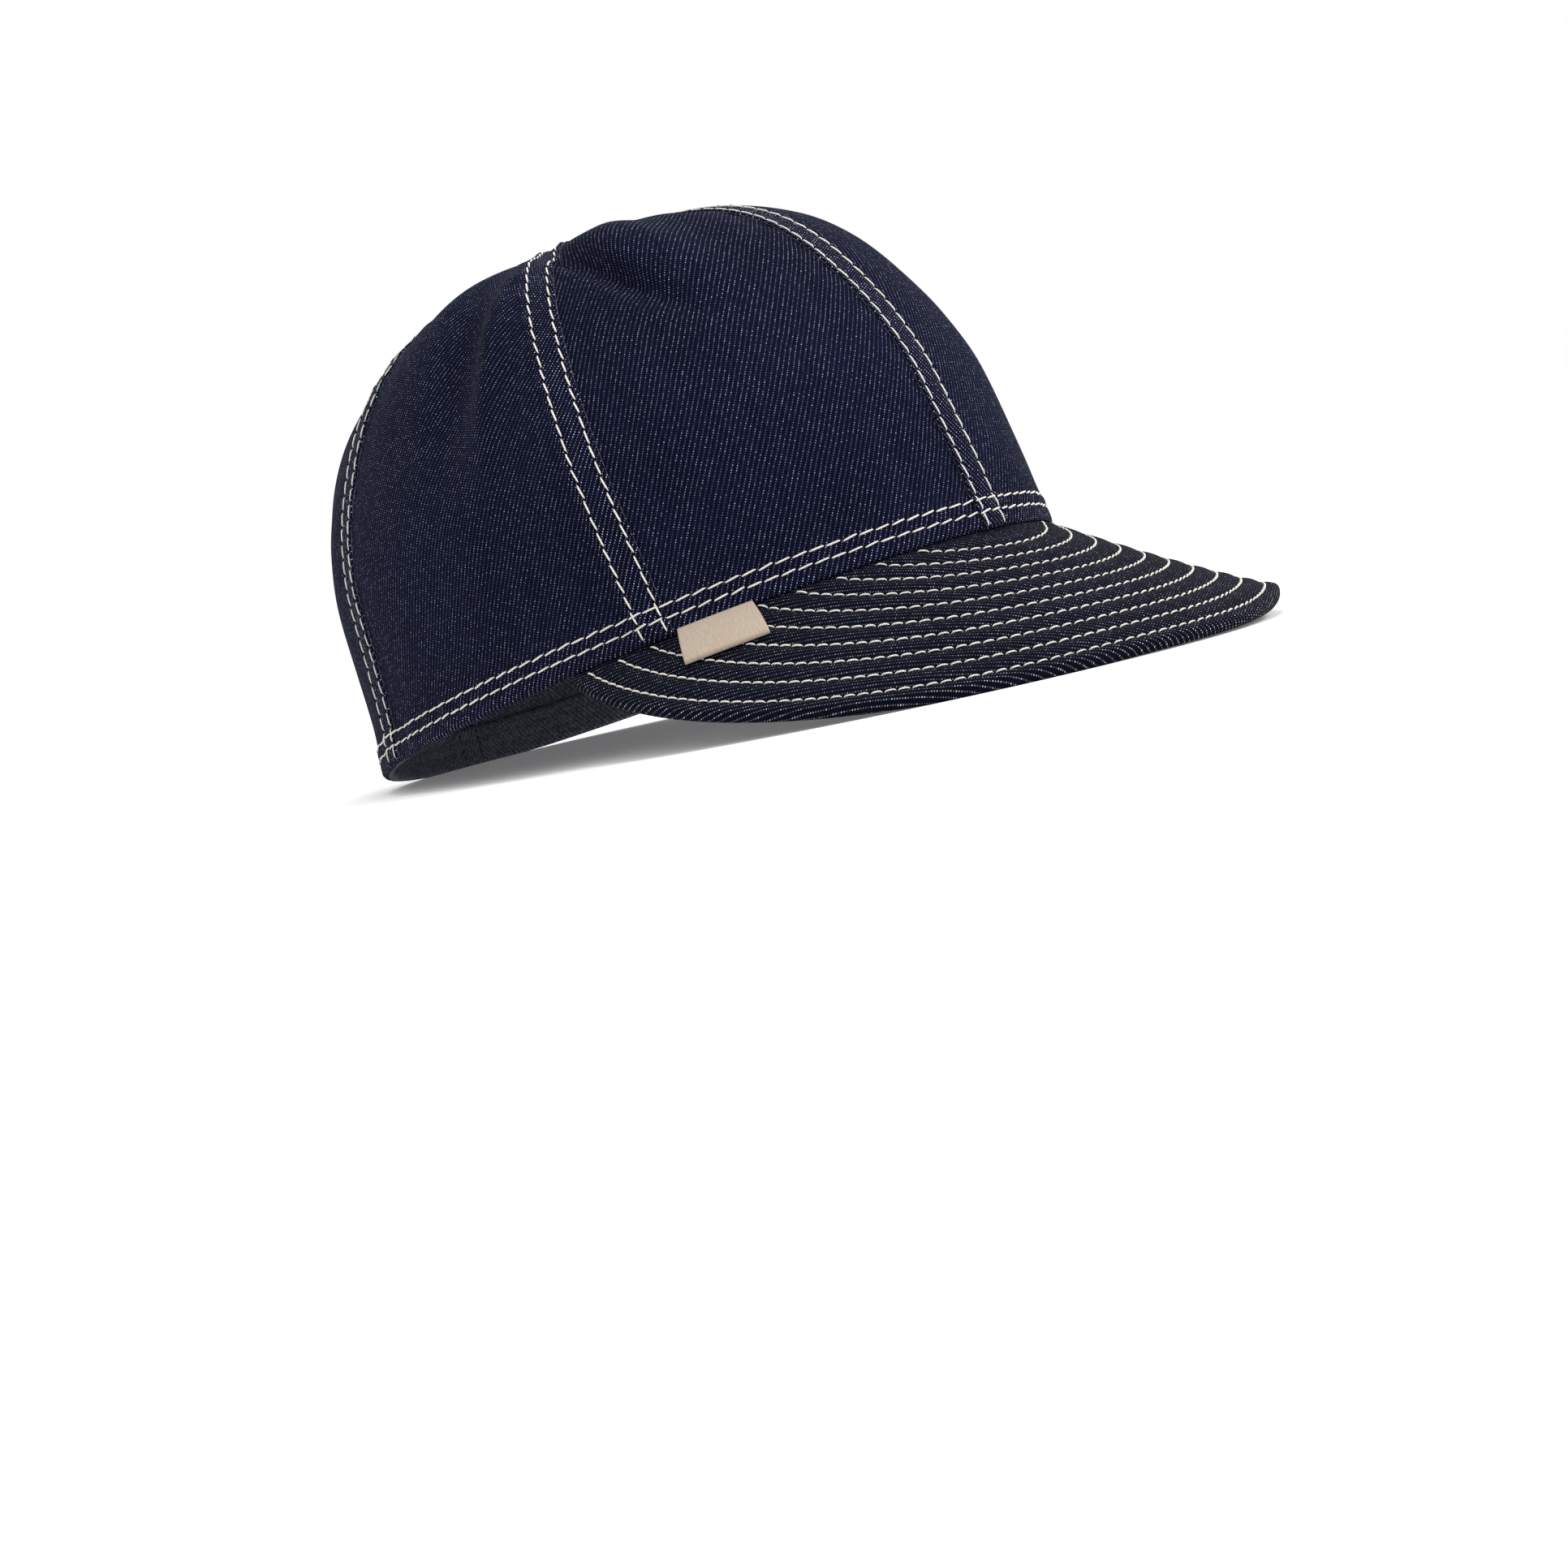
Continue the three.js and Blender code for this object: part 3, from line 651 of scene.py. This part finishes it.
def quilted_peak(material):
    line = np.linspace(-PEAK_END, PEAK_END, PEAK_COLUMNS)
    rim, away, slope, bend, wall = peak_frame(line)
    corner = wall * np.tan(slope)

    def lean_at(height):
        return ((rim - even_crown(line, height / PROFILE_LENGTH)) * away).sum(-1)
    inside = -wall - lean_at(corner)
    places = []
    for t in np.linspace(0, 1, TUCK_ROWS + 1)[:-1]:
        up = PEAK_TUCK * (1 - t) + corner * t
        places.append((-wall - lean_at(up) - bend, up, np.full_like(line, math.pi / 2)))
    for t in np.linspace(0, 1, BEND_ROWS + 1):
        turn = math.pi / 2 * (1 - t) + slope * t
        places.append((inside - bend * np.sin(turn), corner - bend * np.cos(turn), turn))
    reach = np.maximum(peak_reach(line), HEM_CLOTH)
    start = inside / np.cos(slope)
    flat_slants = start + (reach - EDGE_ROWS[-1] - start) * np.linspace(0, 1, PEAK_ROWS + 1)[1:, None]
    edge_slants = reach - EDGE_ROWS[::-1][1:, None]
    slants = np.concatenate((flat_slants, edge_slants))
    tucked = len(places)
    for slant in slants:
        places.append(slope_place(slant, slope, bend))
    slant_grid = np.concatenate((np.full((tucked, len(line)), -5.0), slants)).T
    distance = edge_distance(np.broadcast_to(line[:, None], slant_grid.shape), slant_grid)
    half = PEAK_STACK / 2
    to_edge = np.minimum(np.where(slant_grid < -4, half, reach[:, None] - slant_grid), half)
    rounding = np.sqrt(np.clip(1 - (1 - to_edge / half) ** 2, 0, 1)) * 0.96 + 0.04
    relief = quilt_height(distance, slant_grid)
    sides = []
    for side in (1, -1):
        offset = side * (half * rounding + relief * rounding)
        grid = [peak_point(line, place, offset[:, row]) for row, place in enumerate(places)]
        sides.append(np.stack(grid, axis=1))
    upper, lower = (lift_tip(grid) for grid in sides)
    vertices, faces = shell(upper[:, ::-1], lower[:, ::-1])
    flat = flat_angle(line)[:, None]
    round_edge = half * np.arcsin(1 - to_edge / half)
    length = slant_line(line)[0][:, None] + slant_grid + to_edge - half
    uv = []
    for over_edge in (length + round_edge, length + math.pi * half - round_edge):
        uv.append(np.stack((over_edge * np.sin(flat), over_edge * np.cos(flat)), axis=-1)[:, ::-1].reshape(-1, 2))
    worn = smoothstep(QUILT_FIRST - 1, 0.5, distance)[:, ::-1].ravel()
    values = {
        "worn": np.concatenate((worn, worn)),
        "reverse": np.zeros(2 * worn.size),
    }
    return make_piece("quilted_peak", ["peak_top", "peak_under"], material, vertices, faces,
                      np.concatenate(uv), values)


TIP_FLICK = 5.4
TIP_SPREAD = 0.26
EDGE_WAVE = 0.5


def lift_tip(points):
    """Gentle waves of the peak's edge, and its corner on the wearer's left flicked up."""
    angle = np.arctan2(-points[..., 0], -points[..., 1])
    outside = np.clip((np.hypot(points[..., 0], points[..., 1]) - RIM_HALF_WIDTH) / PEAK_LENGTH, 0, 1)
    flick = TIP_FLICK * np.exp(-((angle - math.radians(-24)) / TIP_SPREAD) ** 2)
    wave = EDGE_WAVE * np.sin(7 * angle + 0.6)
    lifted = points.copy()
    lifted[..., 2] += (flick + wave) * outside ** 3
    return lifted


# The folded tape tab

LABEL_COLUMNS = 40
LABEL_ROWS = 34


def side_tab(material):
    seam = PANEL_ANGLE
    rate = float(rate_at(seam, 0.0))
    start = seam - LABEL_FROM_SEAM / rate
    angle = start - np.linspace(1, 0, LABEL_COLUMNS + 1) * LABEL_WIDTH / rate
    slope, bend = peak_frame(angle)[2:4]
    lower = PEAK_STACK / 2 + GAP
    root = (GAP + (bend - lower) * np.sin(slope)) / np.cos(slope) - 0.6
    t = np.linspace(1, 0, LABEL_ROWS + 1)
    t = np.sin(math.pi / 2 * t)
    slant = root[:, None] + LABEL_LENGTH * t
    grid_angle = np.broadcast_to(angle[:, None], slant.shape)
    to_fold = np.clip(LABEL_LENGTH * (1 - t), 0, LABEL_CLOTH / 2)
    rounding = np.sqrt(np.clip(1 - (1 - to_fold / (LABEL_CLOTH / 2)) ** 2, 0, 1)) * 0.94 + 0.06
    x = np.linspace(-1, 1, LABEL_COLUMNS + 1)[:, None]
    bow = LABEL_BOW * np.sin(math.pi * t) * (1 - 0.25 * x ** 2) + 0.25 * t * (0.4 + 0.6 * x)
    middle = lower + LABEL_CLOTH / 2 + bow
    half = LABEL_CLOTH / 2 * rounding * (1 - 0.18 * (1 - t))
    faces_out = []
    for side in (1, -1):
        offset = middle + side * half
        faces_out.append(np.stack([on_slope(grid_angle[:, row], slant[:, row], offset[:, row])
                                   for row in range(slant.shape[1])], axis=1))
    vertices, faces = shell(*faces_out)
    uv = np.stack(np.broadcast_arrays(x * LABEL_WIDTH / 2, LABEL_LENGTH * t), axis=-1).reshape(-1, 2)
    return make_piece("tape_tab", ["side_label"], material, vertices, faces,
                      np.concatenate((uv, uv)))


# Stitches

STITCH_RINGS = 11
STITCH_SIDES = 8


def stitch_row(points, normals, pitch, radius=THREAD_RADIUS, rings=STITCH_RINGS, sides=STITCH_SIDES, bow=0.0):
    """One row of stitches along a line of points on cloth: vertices, faces and places on the thread."""
    steps = np.linalg.norm(np.diff(points, axis=0), axis=1)
    along = np.concatenate(([0], np.cumsum(steps)))
    count = max(int(round(along[-1] / pitch)), 1)
    step = along[-1] / count
    t = (1 - np.cos(math.pi * np.linspace(0, 1, rings))) / 2
    length = step - STITCH_GAP * random.uniform(0.7, 1.3, (count, 1))
    where = step * (np.arange(count)[:, None] + 0.5) + (t - 0.5) * length
    centre = np.stack([np.interp(where, along, points[:, i]) for i in range(3)], axis=-1)
    normal = unit(np.stack([np.interp(where, along, normals[:, i]) for i in range(3)], axis=-1))
    tangent = unit(np.gradient(centre, axis=1))
    beside = unit(np.cross(normal, tangent))
    yaw = np.tan(STITCH_YAW * random.uniform(0.5, 1.5, (count, 1))) * (t - 0.5) * length
    ends = np.abs(2 * t - 1)
    lift = radius * (1.05 - 2.05 * ends ** 8) + bow * (1 - ends ** 2)
    centre = centre + beside * yaw[..., None] + normal * lift[None, :, None]
    thick = radius * (1 - 0.72 * ends ** 5) * random.uniform(0.93, 1.07, (count, 1))
    turn = np.linspace(0, 2 * math.pi, sides, endpoint=False)
    ring = np.cos(turn)[:, None] * beside[..., None, :] + 0.86 * np.sin(turn)[:, None] * normal[..., None, :]
    vertices = centre[..., None, :] + thick[..., None, None] * ring
    index = np.arange(count * rings * sides).reshape(count, rings, sides)
    onward = np.roll(index, -1, axis=2)
    quads = np.stack((index[:, :-1], onward[:, :-1], onward[:, 1:], index[:, 1:]), axis=-1).reshape(-1, 4)
    fans = []
    for cap_ring, flip in ((index[:, 0], True), (index[:, -1], False)):
        for i in range(1, sides - 1, 2):
            corners = [cap_ring[:, 0], cap_ring[:, i], cap_ring[:, i + 1], cap_ring[:, (i + 2) % sides]]
            if (i + 2) % sides == 0:
                continue
            fan = np.stack(corners[::-1] if flip else corners, axis=-1)
            fans.append(fan)
    faces = np.concatenate([quads] + fans)
    u = np.broadcast_to(where[..., None], vertices.shape[:-1])
    v = np.broadcast_to(turn / (2 * math.pi), vertices.shape[:-1])
    return vertices.reshape(-1, 3), faces, np.stack((u, v), axis=-1).reshape(-1, 2)


def smooth_line(points, passes=2):
    for _ in range(passes):
        points = np.concatenate((points[:1], (points[:-2] + 2 * points[1:-1] + points[2:]) / 4, points[-1:]))
    return points


def stitches(name, material, rows):
    parts = [stitch_row(**row) for row in rows]
    vertices = np.concatenate([part[0] for part in parts])
    starts = np.concatenate(([0], np.cumsum([len(part[0]) for part in parts])[:-1]))
    faces = [face for part, start in zip(parts, starts) for face in (part[1] + start).tolist()]
    uv = np.concatenate([part[2] for part in parts])
    return make_piece(name, [], material, vertices, faces, uv)


LINE_STEP = 0.35


def hem_lines():
    """Lines of the two rows round the hem, up over the seams' strips."""
    circumference = math.pi * (RIM_HALF_LENGTH + RIM_HALF_WIDTH)
    angle = np.linspace(0, 2 * math.pi, int(circumference / LINE_STEP))
    lines = []
    for height in HEM_STITCH_ROWS:
        share = np.full_like(angle, height / PROFILE_LENGTH)
        across, squeeze = seam_distance(angle, share)
        raised = np.where(across > -STRIP_HALF, strip_height(across) * squeeze, 0)
        centre = np.isin(np.round(angle / PANEL_ANGLE) % PANELS, CENTRE_SEAMS)
        raised = np.where(centre, np.where(np.abs(across) < STRIP_HALF, band_height(across), 0), raised)
        outer, _, normal = crown_faces(angle, share, raised)
        lines.append((smooth_line(outer, 6), normal))
    return lines


def seam_lines():
    """Lines of the two rows along each side seam, from the rim to the centre strip."""
    lines = []
    for index in range(PANELS):
        if index in CENTRE_SEAMS:
            continue
        seam = index * PANEL_ANGLE
        share = np.linspace(0.8 / PROFILE_LENGTH, 1, int(PROFILE_LENGTH / LINE_STEP))
        for row in SEAM_ROWS:
            rate = rate_at(seam, share)
            squeeze = squeeze_at(rate)
            angle = seam + row * squeeze / rate
            outer, _, normal = crown_faces(angle, share, strip_height(np.full_like(share, row)) * squeeze)
            covered = np.abs(outer[:, 0]) > STRIP_HALF
            end = len(covered) if covered.all() else int(np.argmin(covered))
            lines.append((smooth_line(outer[:end]), normal[:end]))
    return lines


def centre_lines():
    lines = []
    for row in SEAM_ROWS:
        angle, share = centre_grid(np.array((row,)))
        outer, _, normal = crown_faces(angle, share, np.full_like(share, band_height(np.array(row))))
        shown = slice(3, -3)
        lines.append((smooth_line(outer[0][shown], 1), normal[0][shown]))
    return lines


def quilt_lines(side):
    """Lines of the peak's rows of stitches on its upper (1) or lower (-1) face."""
    lines = []
    for distance in QUILT_DISTANCES:
        angle, slant = quilt_line(distance)
        if len(angle) < 20:
            continue
        offset = side * (PEAK_STACK / 2 + quilt_height(np.full_like(slant, distance), slant))
        points = lift_tip(on_slope(angle, slant, offset))
        direction = slant_line(angle)[1]
        tangent = unit(np.gradient(points, axis=0))
        normal = side * unit(np.cross(tangent, direction))
        normal = normal * np.sign((normal * UP).sum(-1) * side)[:, None]
        lines.append((points, normal))
    return lines


def thread_rows(lines, pitch, **details):
    return [{"points": points, "normals": normals, "pitch": pitch, **details} for points, normals in lines]


# Materials

class Nodes:
    """Adds nodes to a material and links them by short calls."""

    def __init__(self, name):
        self.material = bpy.data.materials.new(name)
        self.material.use_nodes = True
        self.tree = self.material.node_tree
        self.shader = self.tree.nodes["Principled BSDF"]

    def add(self, kind, **settings):
        node = self.tree.nodes.new(kind)
        for key, value in settings.items():
            setattr(node, key, value)
        return node

    def put(self, socket, value):
        if isinstance(value, bpy.types.NodeSocket):
            self.tree.links.new(value, socket)
        else:
            socket.default_value = value

    def math(self, operation, *values):
        node = self.add("ShaderNodeMath", operation=operation)
        for socket, value in zip(node.inputs, values):
            self.put(socket, value)
        return node.outputs[0]

    def mix(self, share, low, high):
        node = self.add("ShaderNodeMix", data_type="RGBA")
        self.put(node.inputs["Factor"], share)
        self.put(node.inputs[6], low)
        self.put(node.inputs[7], high)
        return node.outputs[2]

    def range(self, value, low, high, new_low=0.0, new_high=1.0):
        node = self.add("ShaderNodeMapRange")
        for socket, item in zip(node.inputs, (value, low, high, new_low, new_high)):
            self.put(socket, item)
        return node.outputs[0]

    def combine(self, x, y, z=0.0):
        node = self.add("ShaderNodeCombineXYZ")
        for socket, value in zip(node.inputs, (x, y, z)):
            self.put(socket, value)
        return node.outputs[0]

    def noise(self, vector, scale, detail=2.0):
        node = self.add("ShaderNodeTexNoise")
        self.put(node.inputs["Vector"], vector)
        node.inputs["Scale"].default_value = scale
        node.inputs["Detail"].default_value = detail
        return node.outputs["Fac"]

    def white_noise(self, vector):
        node = self.add("ShaderNodeTexWhiteNoise", noise_dimensions="3D")
        self.put(node.inputs["Vector"], vector)
        return node.outputs["Value"]

    def cloth_place(self):
        """The mesh's own millimetres across and along the cloth."""
        place = self.add("ShaderNodeUVMap", uv_map="cloth")
        split = self.add("ShaderNodeSeparateXYZ")
        self.put(split.inputs[0], place.outputs[0])
        return split.outputs[0], split.outputs[1]

    def attribute(self, name):
        return self.add("ShaderNodeAttribute", attribute_name=name).outputs["Fac"]

    def bump(self, height, distance, strength=1.0):
        node = self.add("ShaderNodeBump")
        self.put(node.inputs["Height"], height)
        node.inputs["Distance"].default_value = distance
        node.inputs["Strength"].default_value = strength
        self.put(self.shader.inputs["Normal"], node.outputs[0])


def denim(name, warp_dark, warp_light, weft, speck):
    """3/1 twill: dark warp threads along the cloth, with dots of pale weft stepping diagonally."""
    n = Nodes(name)
    warp_pitch, weft_pitch = 0.36, 0.53
    u, v = n.cloth_place()
    drift_place = n.combine(n.math("MULTIPLY", u, 0.05), n.math("MULTIPLY", v, 0.05))
    drift = n.math("SUBTRACT", n.noise(drift_place, 1.6, 3.0), 0.5)
    across = n.math("ADD", n.math("DIVIDE", u, warp_pitch), n.math("MULTIPLY", drift, 2.5))
    along = n.math("DIVIDE", v, weft_pitch)
    warp_number, weft_number = n.math("FLOOR", across), n.math("FLOOR", along)
    in_warp = n.math("SUBTRACT", n.math("FRACT", across), 0.5)
    in_weft = n.math("SUBTRACT", n.math("FRACT", along), 0.5)
    step = n.math("FLOORED_MODULO", n.math("ADD", warp_number, weft_number), 4.0)
    is_dot = n.math("LESS_THAN", step, 0.5)
    from_middle = n.math("ADD", n.math("POWER", n.math("MULTIPLY", in_warp, 2.2), 2.0),
                         n.math("POWER", n.math("MULTIPLY", in_weft, 3.4), 2.0))
    dot_shape = n.range(from_middle, 1.1, 0.45)
    luck = n.white_noise(n.combine(warp_number, weft_number, 3.0))
    slub = n.noise(n.combine(n.math("MULTIPLY", u, 0.22), n.math("MULTIPLY", weft_number, 0.9)), 1.0, 3.0)
    bright = n.math("ADD", n.math("MULTIPLY", n.math("POWER", luck, 3.0), 0.52), 0.10)
    strength = n.math("MULTIPLY", bright, n.range(slub, 0.3, 0.72, 0.5, 1.6))
    dot = n.math("MULTIPLY", n.math("MULTIPLY", is_dot, dot_shape), strength)

    warp_luck = n.white_noise(n.combine(warp_number, 11.0, 0.0))
    streak = n.noise(n.combine(n.math("MULTIPLY", warp_number, 0.71), n.math("MULTIPLY", v, 0.06)), 1.0, 2.0)
    warp_tone = n.math("ADD", n.math("MULTIPLY", warp_luck, 0.45), n.math("MULTIPLY", streak, 0.55))
    patch = n.noise(n.combine(n.math("MULTIPLY", u, 0.03), n.math("MULTIPLY", v, 0.03), 5.0), 1.0, 3.0)
    warp_colour = n.mix(n.math("MULTIPLY", warp_tone, n.range(patch, 0.3, 0.7, 0.6, 1.1)), warp_dark, warp_light)

    worn = n.attribute("worn")
    reverse = n.attribute("reverse")
    shown = n.math("MULTIPLY", dot, n.range(worn, 0.0, 1.0, speck, speck * 1.8))
    outer_colour = n.mix(n.math("MINIMUM", shown, 1.0), warp_colour, weft)
    reverse_weft = n.range(n.math("ADD", luck, n.math("MULTIPLY", is_dot, -0.9)), -0.4, 1.0, 0.05, 0.6)
    inner_colour = n.mix(reverse_weft, warp_colour, weft)
    n.put(n.shader.inputs["Base Color"], n.mix(reverse, outer_colour, inner_colour))

    yarn = n.math("SUBTRACT", 0.25, n.math("MULTIPLY", in_warp, in_warp))
    twill = n.range(n.math("ABSOLUTE", n.math("SUBTRACT", n.math("FLOORED_MODULO", n.math("ADD", across, along), 4.0),
                                              2.0)), 0.0, 2.0, 0.25, 0.0)
    n.bump(n.math("ADD", n.math("ADD", n.math("MULTIPLY", yarn, 0.5), twill), n.math("MULTIPLY", dot, 0.35)),
           0.00018, 0.75)
    n.put(n.shader.inputs["Roughness"], n.range(dot, 0.0, 1.0, 0.86, 0.95))
    n.shader.inputs["Specular IOR Level"].default_value = 0.02
    n.shader.inputs["Sheen Weight"].default_value = 0.006
    n.shader.inputs["Sheen Roughness"].default_value = 0.5
    n.shader.inputs["Sheen Tint"].default_value = (0.50, 0.55, 0.85, 1)
    return n.material


def tape(name, low, high):
    """Fine twill tape with a soft face."""
    n = Nodes(name)
    u, v = n.cloth_place()
    pitch = 0.42
    diagonal = n.math("ADD", n.math("DIVIDE", u, pitch), n.math("DIVIDE", v, 0.6 * pitch))
    ridge = n.math("ABSOLUTE", n.math("SUBTRACT", n.math("FRACT", diagonal), 0.5))
    threads = n.noise(n.combine(n.math("MULTIPLY", u, 3.2), n.math("MULTIPLY", v, 0.35)), 1.0, 2.0)
    fibres = n.noise(n.combine(u, v), 2.4, 4.0)
    groove_shade_and_fibre_tone = n.math("ADD", n.math("MULTIPLY", ridge, 0.7), n.math("MULTIPLY", threads, 0.5))
    groove_shade_and_fibre_tone = n.math("ADD", groove_shade_and_fibre_tone, n.math("MULTIPLY", n.math("SUBTRACT", fibres, 0.5), 0.5))
    # Colour follows the weave's height: the grooves between twill ridges are painted darker as painted shade, and the
    # thread and fibre noise is the tape's own uneven tone.
    n.put(n.shader.inputs["Base Color"], n.mix(n.range(groove_shade_and_fibre_tone, 0.1, 0.75), low, high))
    n.bump(groove_shade_and_fibre_tone, 0.00012, 0.6)
    n.put(n.shader.inputs["Roughness"], n.range(groove_shade_and_fibre_tone, 0.0, 1.0, 0.9, 0.78))
    n.shader.inputs["Specular IOR Level"].default_value = 0.25
    n.shader.inputs["Sheen Weight"].default_value = 0.08
    return n.material


def thread(name, low, high):
    """Twisted cotton thread: its plies wind round it as slanting ridges."""
    n = Nodes(name)
    u, v = n.cloth_place()
    winding = n.math("FRACT", n.math("ADD", n.math("DIVIDE", u, 1.05), n.math("MULTIPLY", v, 2.0)))
    ply = n.math("ABSOLUTE", n.math("SUBTRACT", winding, 0.5))
    ridge = n.range(ply, 0.0, 0.42)
    fuzz = n.noise(n.combine(n.math("MULTIPLY", u, 3.0), n.math("MULTIPLY", v, 6.0)), 1.0, 3.0)
    groove_shade_and_fibre_tone = n.math("ADD", n.math("MULTIPLY", ridge, 0.6), n.math("MULTIPLY", fuzz, 0.5))
    # Colour follows the plies' height: the grooves between plies are painted darker as painted shade, and the fuzz
    # noise is the thread's own uneven tone.
    n.put(n.shader.inputs["Base Color"], n.mix(n.range(groove_shade_and_fibre_tone, 0.1, 0.95), low, high))
    n.bump(groove_shade_and_fibre_tone, 0.00010, 0.8)
    n.put(n.shader.inputs["Roughness"], n.range(groove_shade_and_fibre_tone, 0.0, 1.0, 0.75, 0.6))
    n.shader.inputs["Specular IOR Level"].default_value = 0.35
    n.shader.inputs["Sheen Weight"].default_value = 0.10
    return n.material


def floor_material():
    n = Nodes("pale_floor")
    place = n.add("ShaderNodeTexCoord").outputs["Object"]
    grain = n.noise(place, 30.0, 3.0)
    n.put(n.shader.inputs["Base Color"], n.mix(n.range(grain, 0.3, 0.7), (0.86, 0.86, 0.86, 1), (0.90, 0.90, 0.90, 1)))
    n.shader.inputs["Roughness"].default_value = 0.9
    n.shader.inputs["Specular IOR Level"].default_value = 0.1
    n.shader.inputs["Emission Color"].default_value = (1, 1, 1, 1)
    n.shader.inputs["Emission Strength"].default_value = 0.12
    return n.material


# The cap's rest on the floor: it tips back until the back of the rim and the peak's edge both touch.

def turn_about_x(angle):
    sine, cosine = math.sin(angle), math.cos(angle)
    return np.array(((1, 0, 0), (0, cosine, -sine), (0, sine, cosine)))


def rest_pose():
    rim = even_crown(np.linspace(0, 2 * math.pi, 721), 0.0)
    line = np.linspace(-PEAK_END, PEAK_END, 721)
    peak = on_slope(line, np.maximum(peak_reach(line), HEM_CLOTH), np.full_like(line, -PEAK_STACK / 2))
    low, high = 0.0, PEAK_DROOP
    for _ in range(40):
        tilt = (low + high) / 2
        turn = turn_about_x(-tilt)
        rim_low, peak_low = (rim @ turn.T)[:, 2].min(), (peak @ turn.T)[:, 2].min()
        low, high = (tilt, high) if rim_low > peak_low else (low, tilt)
    around, up_crown = np.meshgrid(np.linspace(0, 2 * math.pi, 181), np.linspace(0, 1, 91))
    back = (crown(around, up_crown) @ turn.T)[..., 1].max()
    cad_back = max(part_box(name)[1].y for name in PANEL_NAMES) / MM
    return turn, -rim_low - PRESSED_FLAT, cad_back - back - STRIP_RISE


REST_TURN, REST_LIFT, REST_SHIFT = rest_pose()

crown_denim = denim("indigo_denim_crown", (0.0014, 0.0020, 0.0078, 1), (0.0048, 0.0060, 0.0225, 1),
                    (0.46, 0.49, 0.60, 1), 1.0)
peak_denim = denim("indigo_denim_peak", (0.0012, 0.0016, 0.0050, 1), (0.0042, 0.0050, 0.0140, 1),
                   (0.50, 0.50, 0.50, 1), 1.0)
# The darker of the two colours given to the thread and to the tape is painted shade in the grooves of their plies and
# twill, and also their darker fibres.
ivory_thread = thread("ivory_thread", (0.42, 0.39, 0.33, 1), (0.80, 0.78, 0.71, 1))
tab_tape = tape("cotton_tape", (0.27, 0.21, 0.16, 1), (0.47, 0.39, 0.31, 1))

for panel_index in range(PANELS):
    crown_panel(panel_index, crown_denim)
centre_strip(crown_denim)
quilted_peak(peak_denim)
side_tab(tab_tape)
stitches("crown_seam_stitches", ivory_thread, thread_rows(seam_lines() + centre_lines(), SEAM_PITCH))
stitches("hem_stitches", ivory_thread, thread_rows(hem_lines(), SEAM_PITCH))
stitches("peak_stitches", ivory_thread, thread_rows(quilt_lines(1), QUILT_PITCH, bow=QUILT_BOW))
stitches("peak_underside_stitches", ivory_thread, thread_rows(quilt_lines(-1), QUILT_PITCH, rings=7, sides=6))


# Camera: azimuth, elevation and roll are taken in the cap's worn position, as the photograph shows
# it, and the elevation is raised so that the camera clears the floor.

AZIMUTH = math.radians(-46.6)
ELEVATION = math.radians(-7.24 + 2.0)
ROLL = math.radians(-19.67)
DISTANCE = 900
PIXELS = 1932
PIXELS_PER_MM = 4.645
RIM_CENTRE_PIXEL = (877.2, 810.0)
SENSOR = 36


def camera():
    focal = PIXELS_PER_MM * DISTANCE
    toward = np.array((math.sin(AZIMUTH) * math.cos(ELEVATION), -math.cos(AZIMUTH) * math.cos(ELEVATION),
                       math.sin(ELEVATION)))
    right = unit(np.cross(-toward, UP))
    up = np.cross(right, -toward)
    rolled_right = math.cos(ROLL) * right + math.sin(ROLL) * up
    rolled_up = math.cos(ROLL) * up - math.sin(ROLL) * right
    aimed = Matrix(np.stack((rolled_right, rolled_up, toward)).T.tolist())
    half = PIXELS / 2
    wanted = Vector(((RIM_CENTRE_PIXEL[0] - half) / focal, (half - RIM_CENTRE_PIXEL[1]) / focal, -1))
    correction = wanted.rotation_difference(Vector((0, 0, -1))).to_matrix()
    worn = aimed @ correction
    rest = Matrix(REST_TURN.tolist())
    place = settle_point(DISTANCE * toward)
    data = bpy.data.cameras.new("camera")
    data.sensor_width = SENSOR
    data.lens = focal / PIXELS * SENSOR
    data.clip_end = 100
    view = bpy.data.objects.new("camera", data)
    view.matrix_world = Matrix.Translation(Vector(place * MM)) @ (rest @ worn).to_4x4()
    bpy.context.scene.collection.objects.link(view)
    bpy.context.scene.camera = view
    return view


def settle_point(point):
    return REST_TURN @ point + np.array((0, REST_SHIFT, REST_LIFT))


def area_light(name, place, target, size, power, colour=(1, 1, 1)):
    data = bpy.data.lights.new(name, "AREA")
    data.shape = "DISK"
    data.size = size
    data.energy = power
    data.color = colour
    light = bpy.data.objects.new(name, data)
    light.location = place
    light.rotation_euler = (Vector(target) - Vector(place)).to_track_quat("-Z", "Y").to_euler()
    bpy.context.scene.collection.objects.link(light)
    return light


def floor():
    size = 60.0
    mesh = bpy.data.meshes.new("floor")
    mesh.from_pydata([(-size, -size, 0), (size, -size, 0), (size, size, 0), (-size, size, 0)], [], [(0, 1, 2, 3)])
    mesh.materials.append(floor_material())
    plane = bpy.data.objects.new("floor", mesh)
    bpy.context.scene.collection.objects.link(plane)


def world():
    settings = bpy.data.worlds.new("studio")
    settings.use_nodes = True
    background = settings.node_tree.nodes["Background"]
    background.inputs["Color"].default_value = (1, 1, 1, 1)
    background.inputs["Strength"].default_value = 1.0
    bpy.context.scene.world = settings


camera()
floor()
world()
CENTRE = (0, 0, 0.06)
area_light("key", (0.5, -1.7, 1.3), CENTRE, 0.7, 26)
area_light("top", (0.3, 0.2, 1.9), CENTRE, 1.0, 18)
bpy.context.scene.view_settings.view_transform = "Standard"
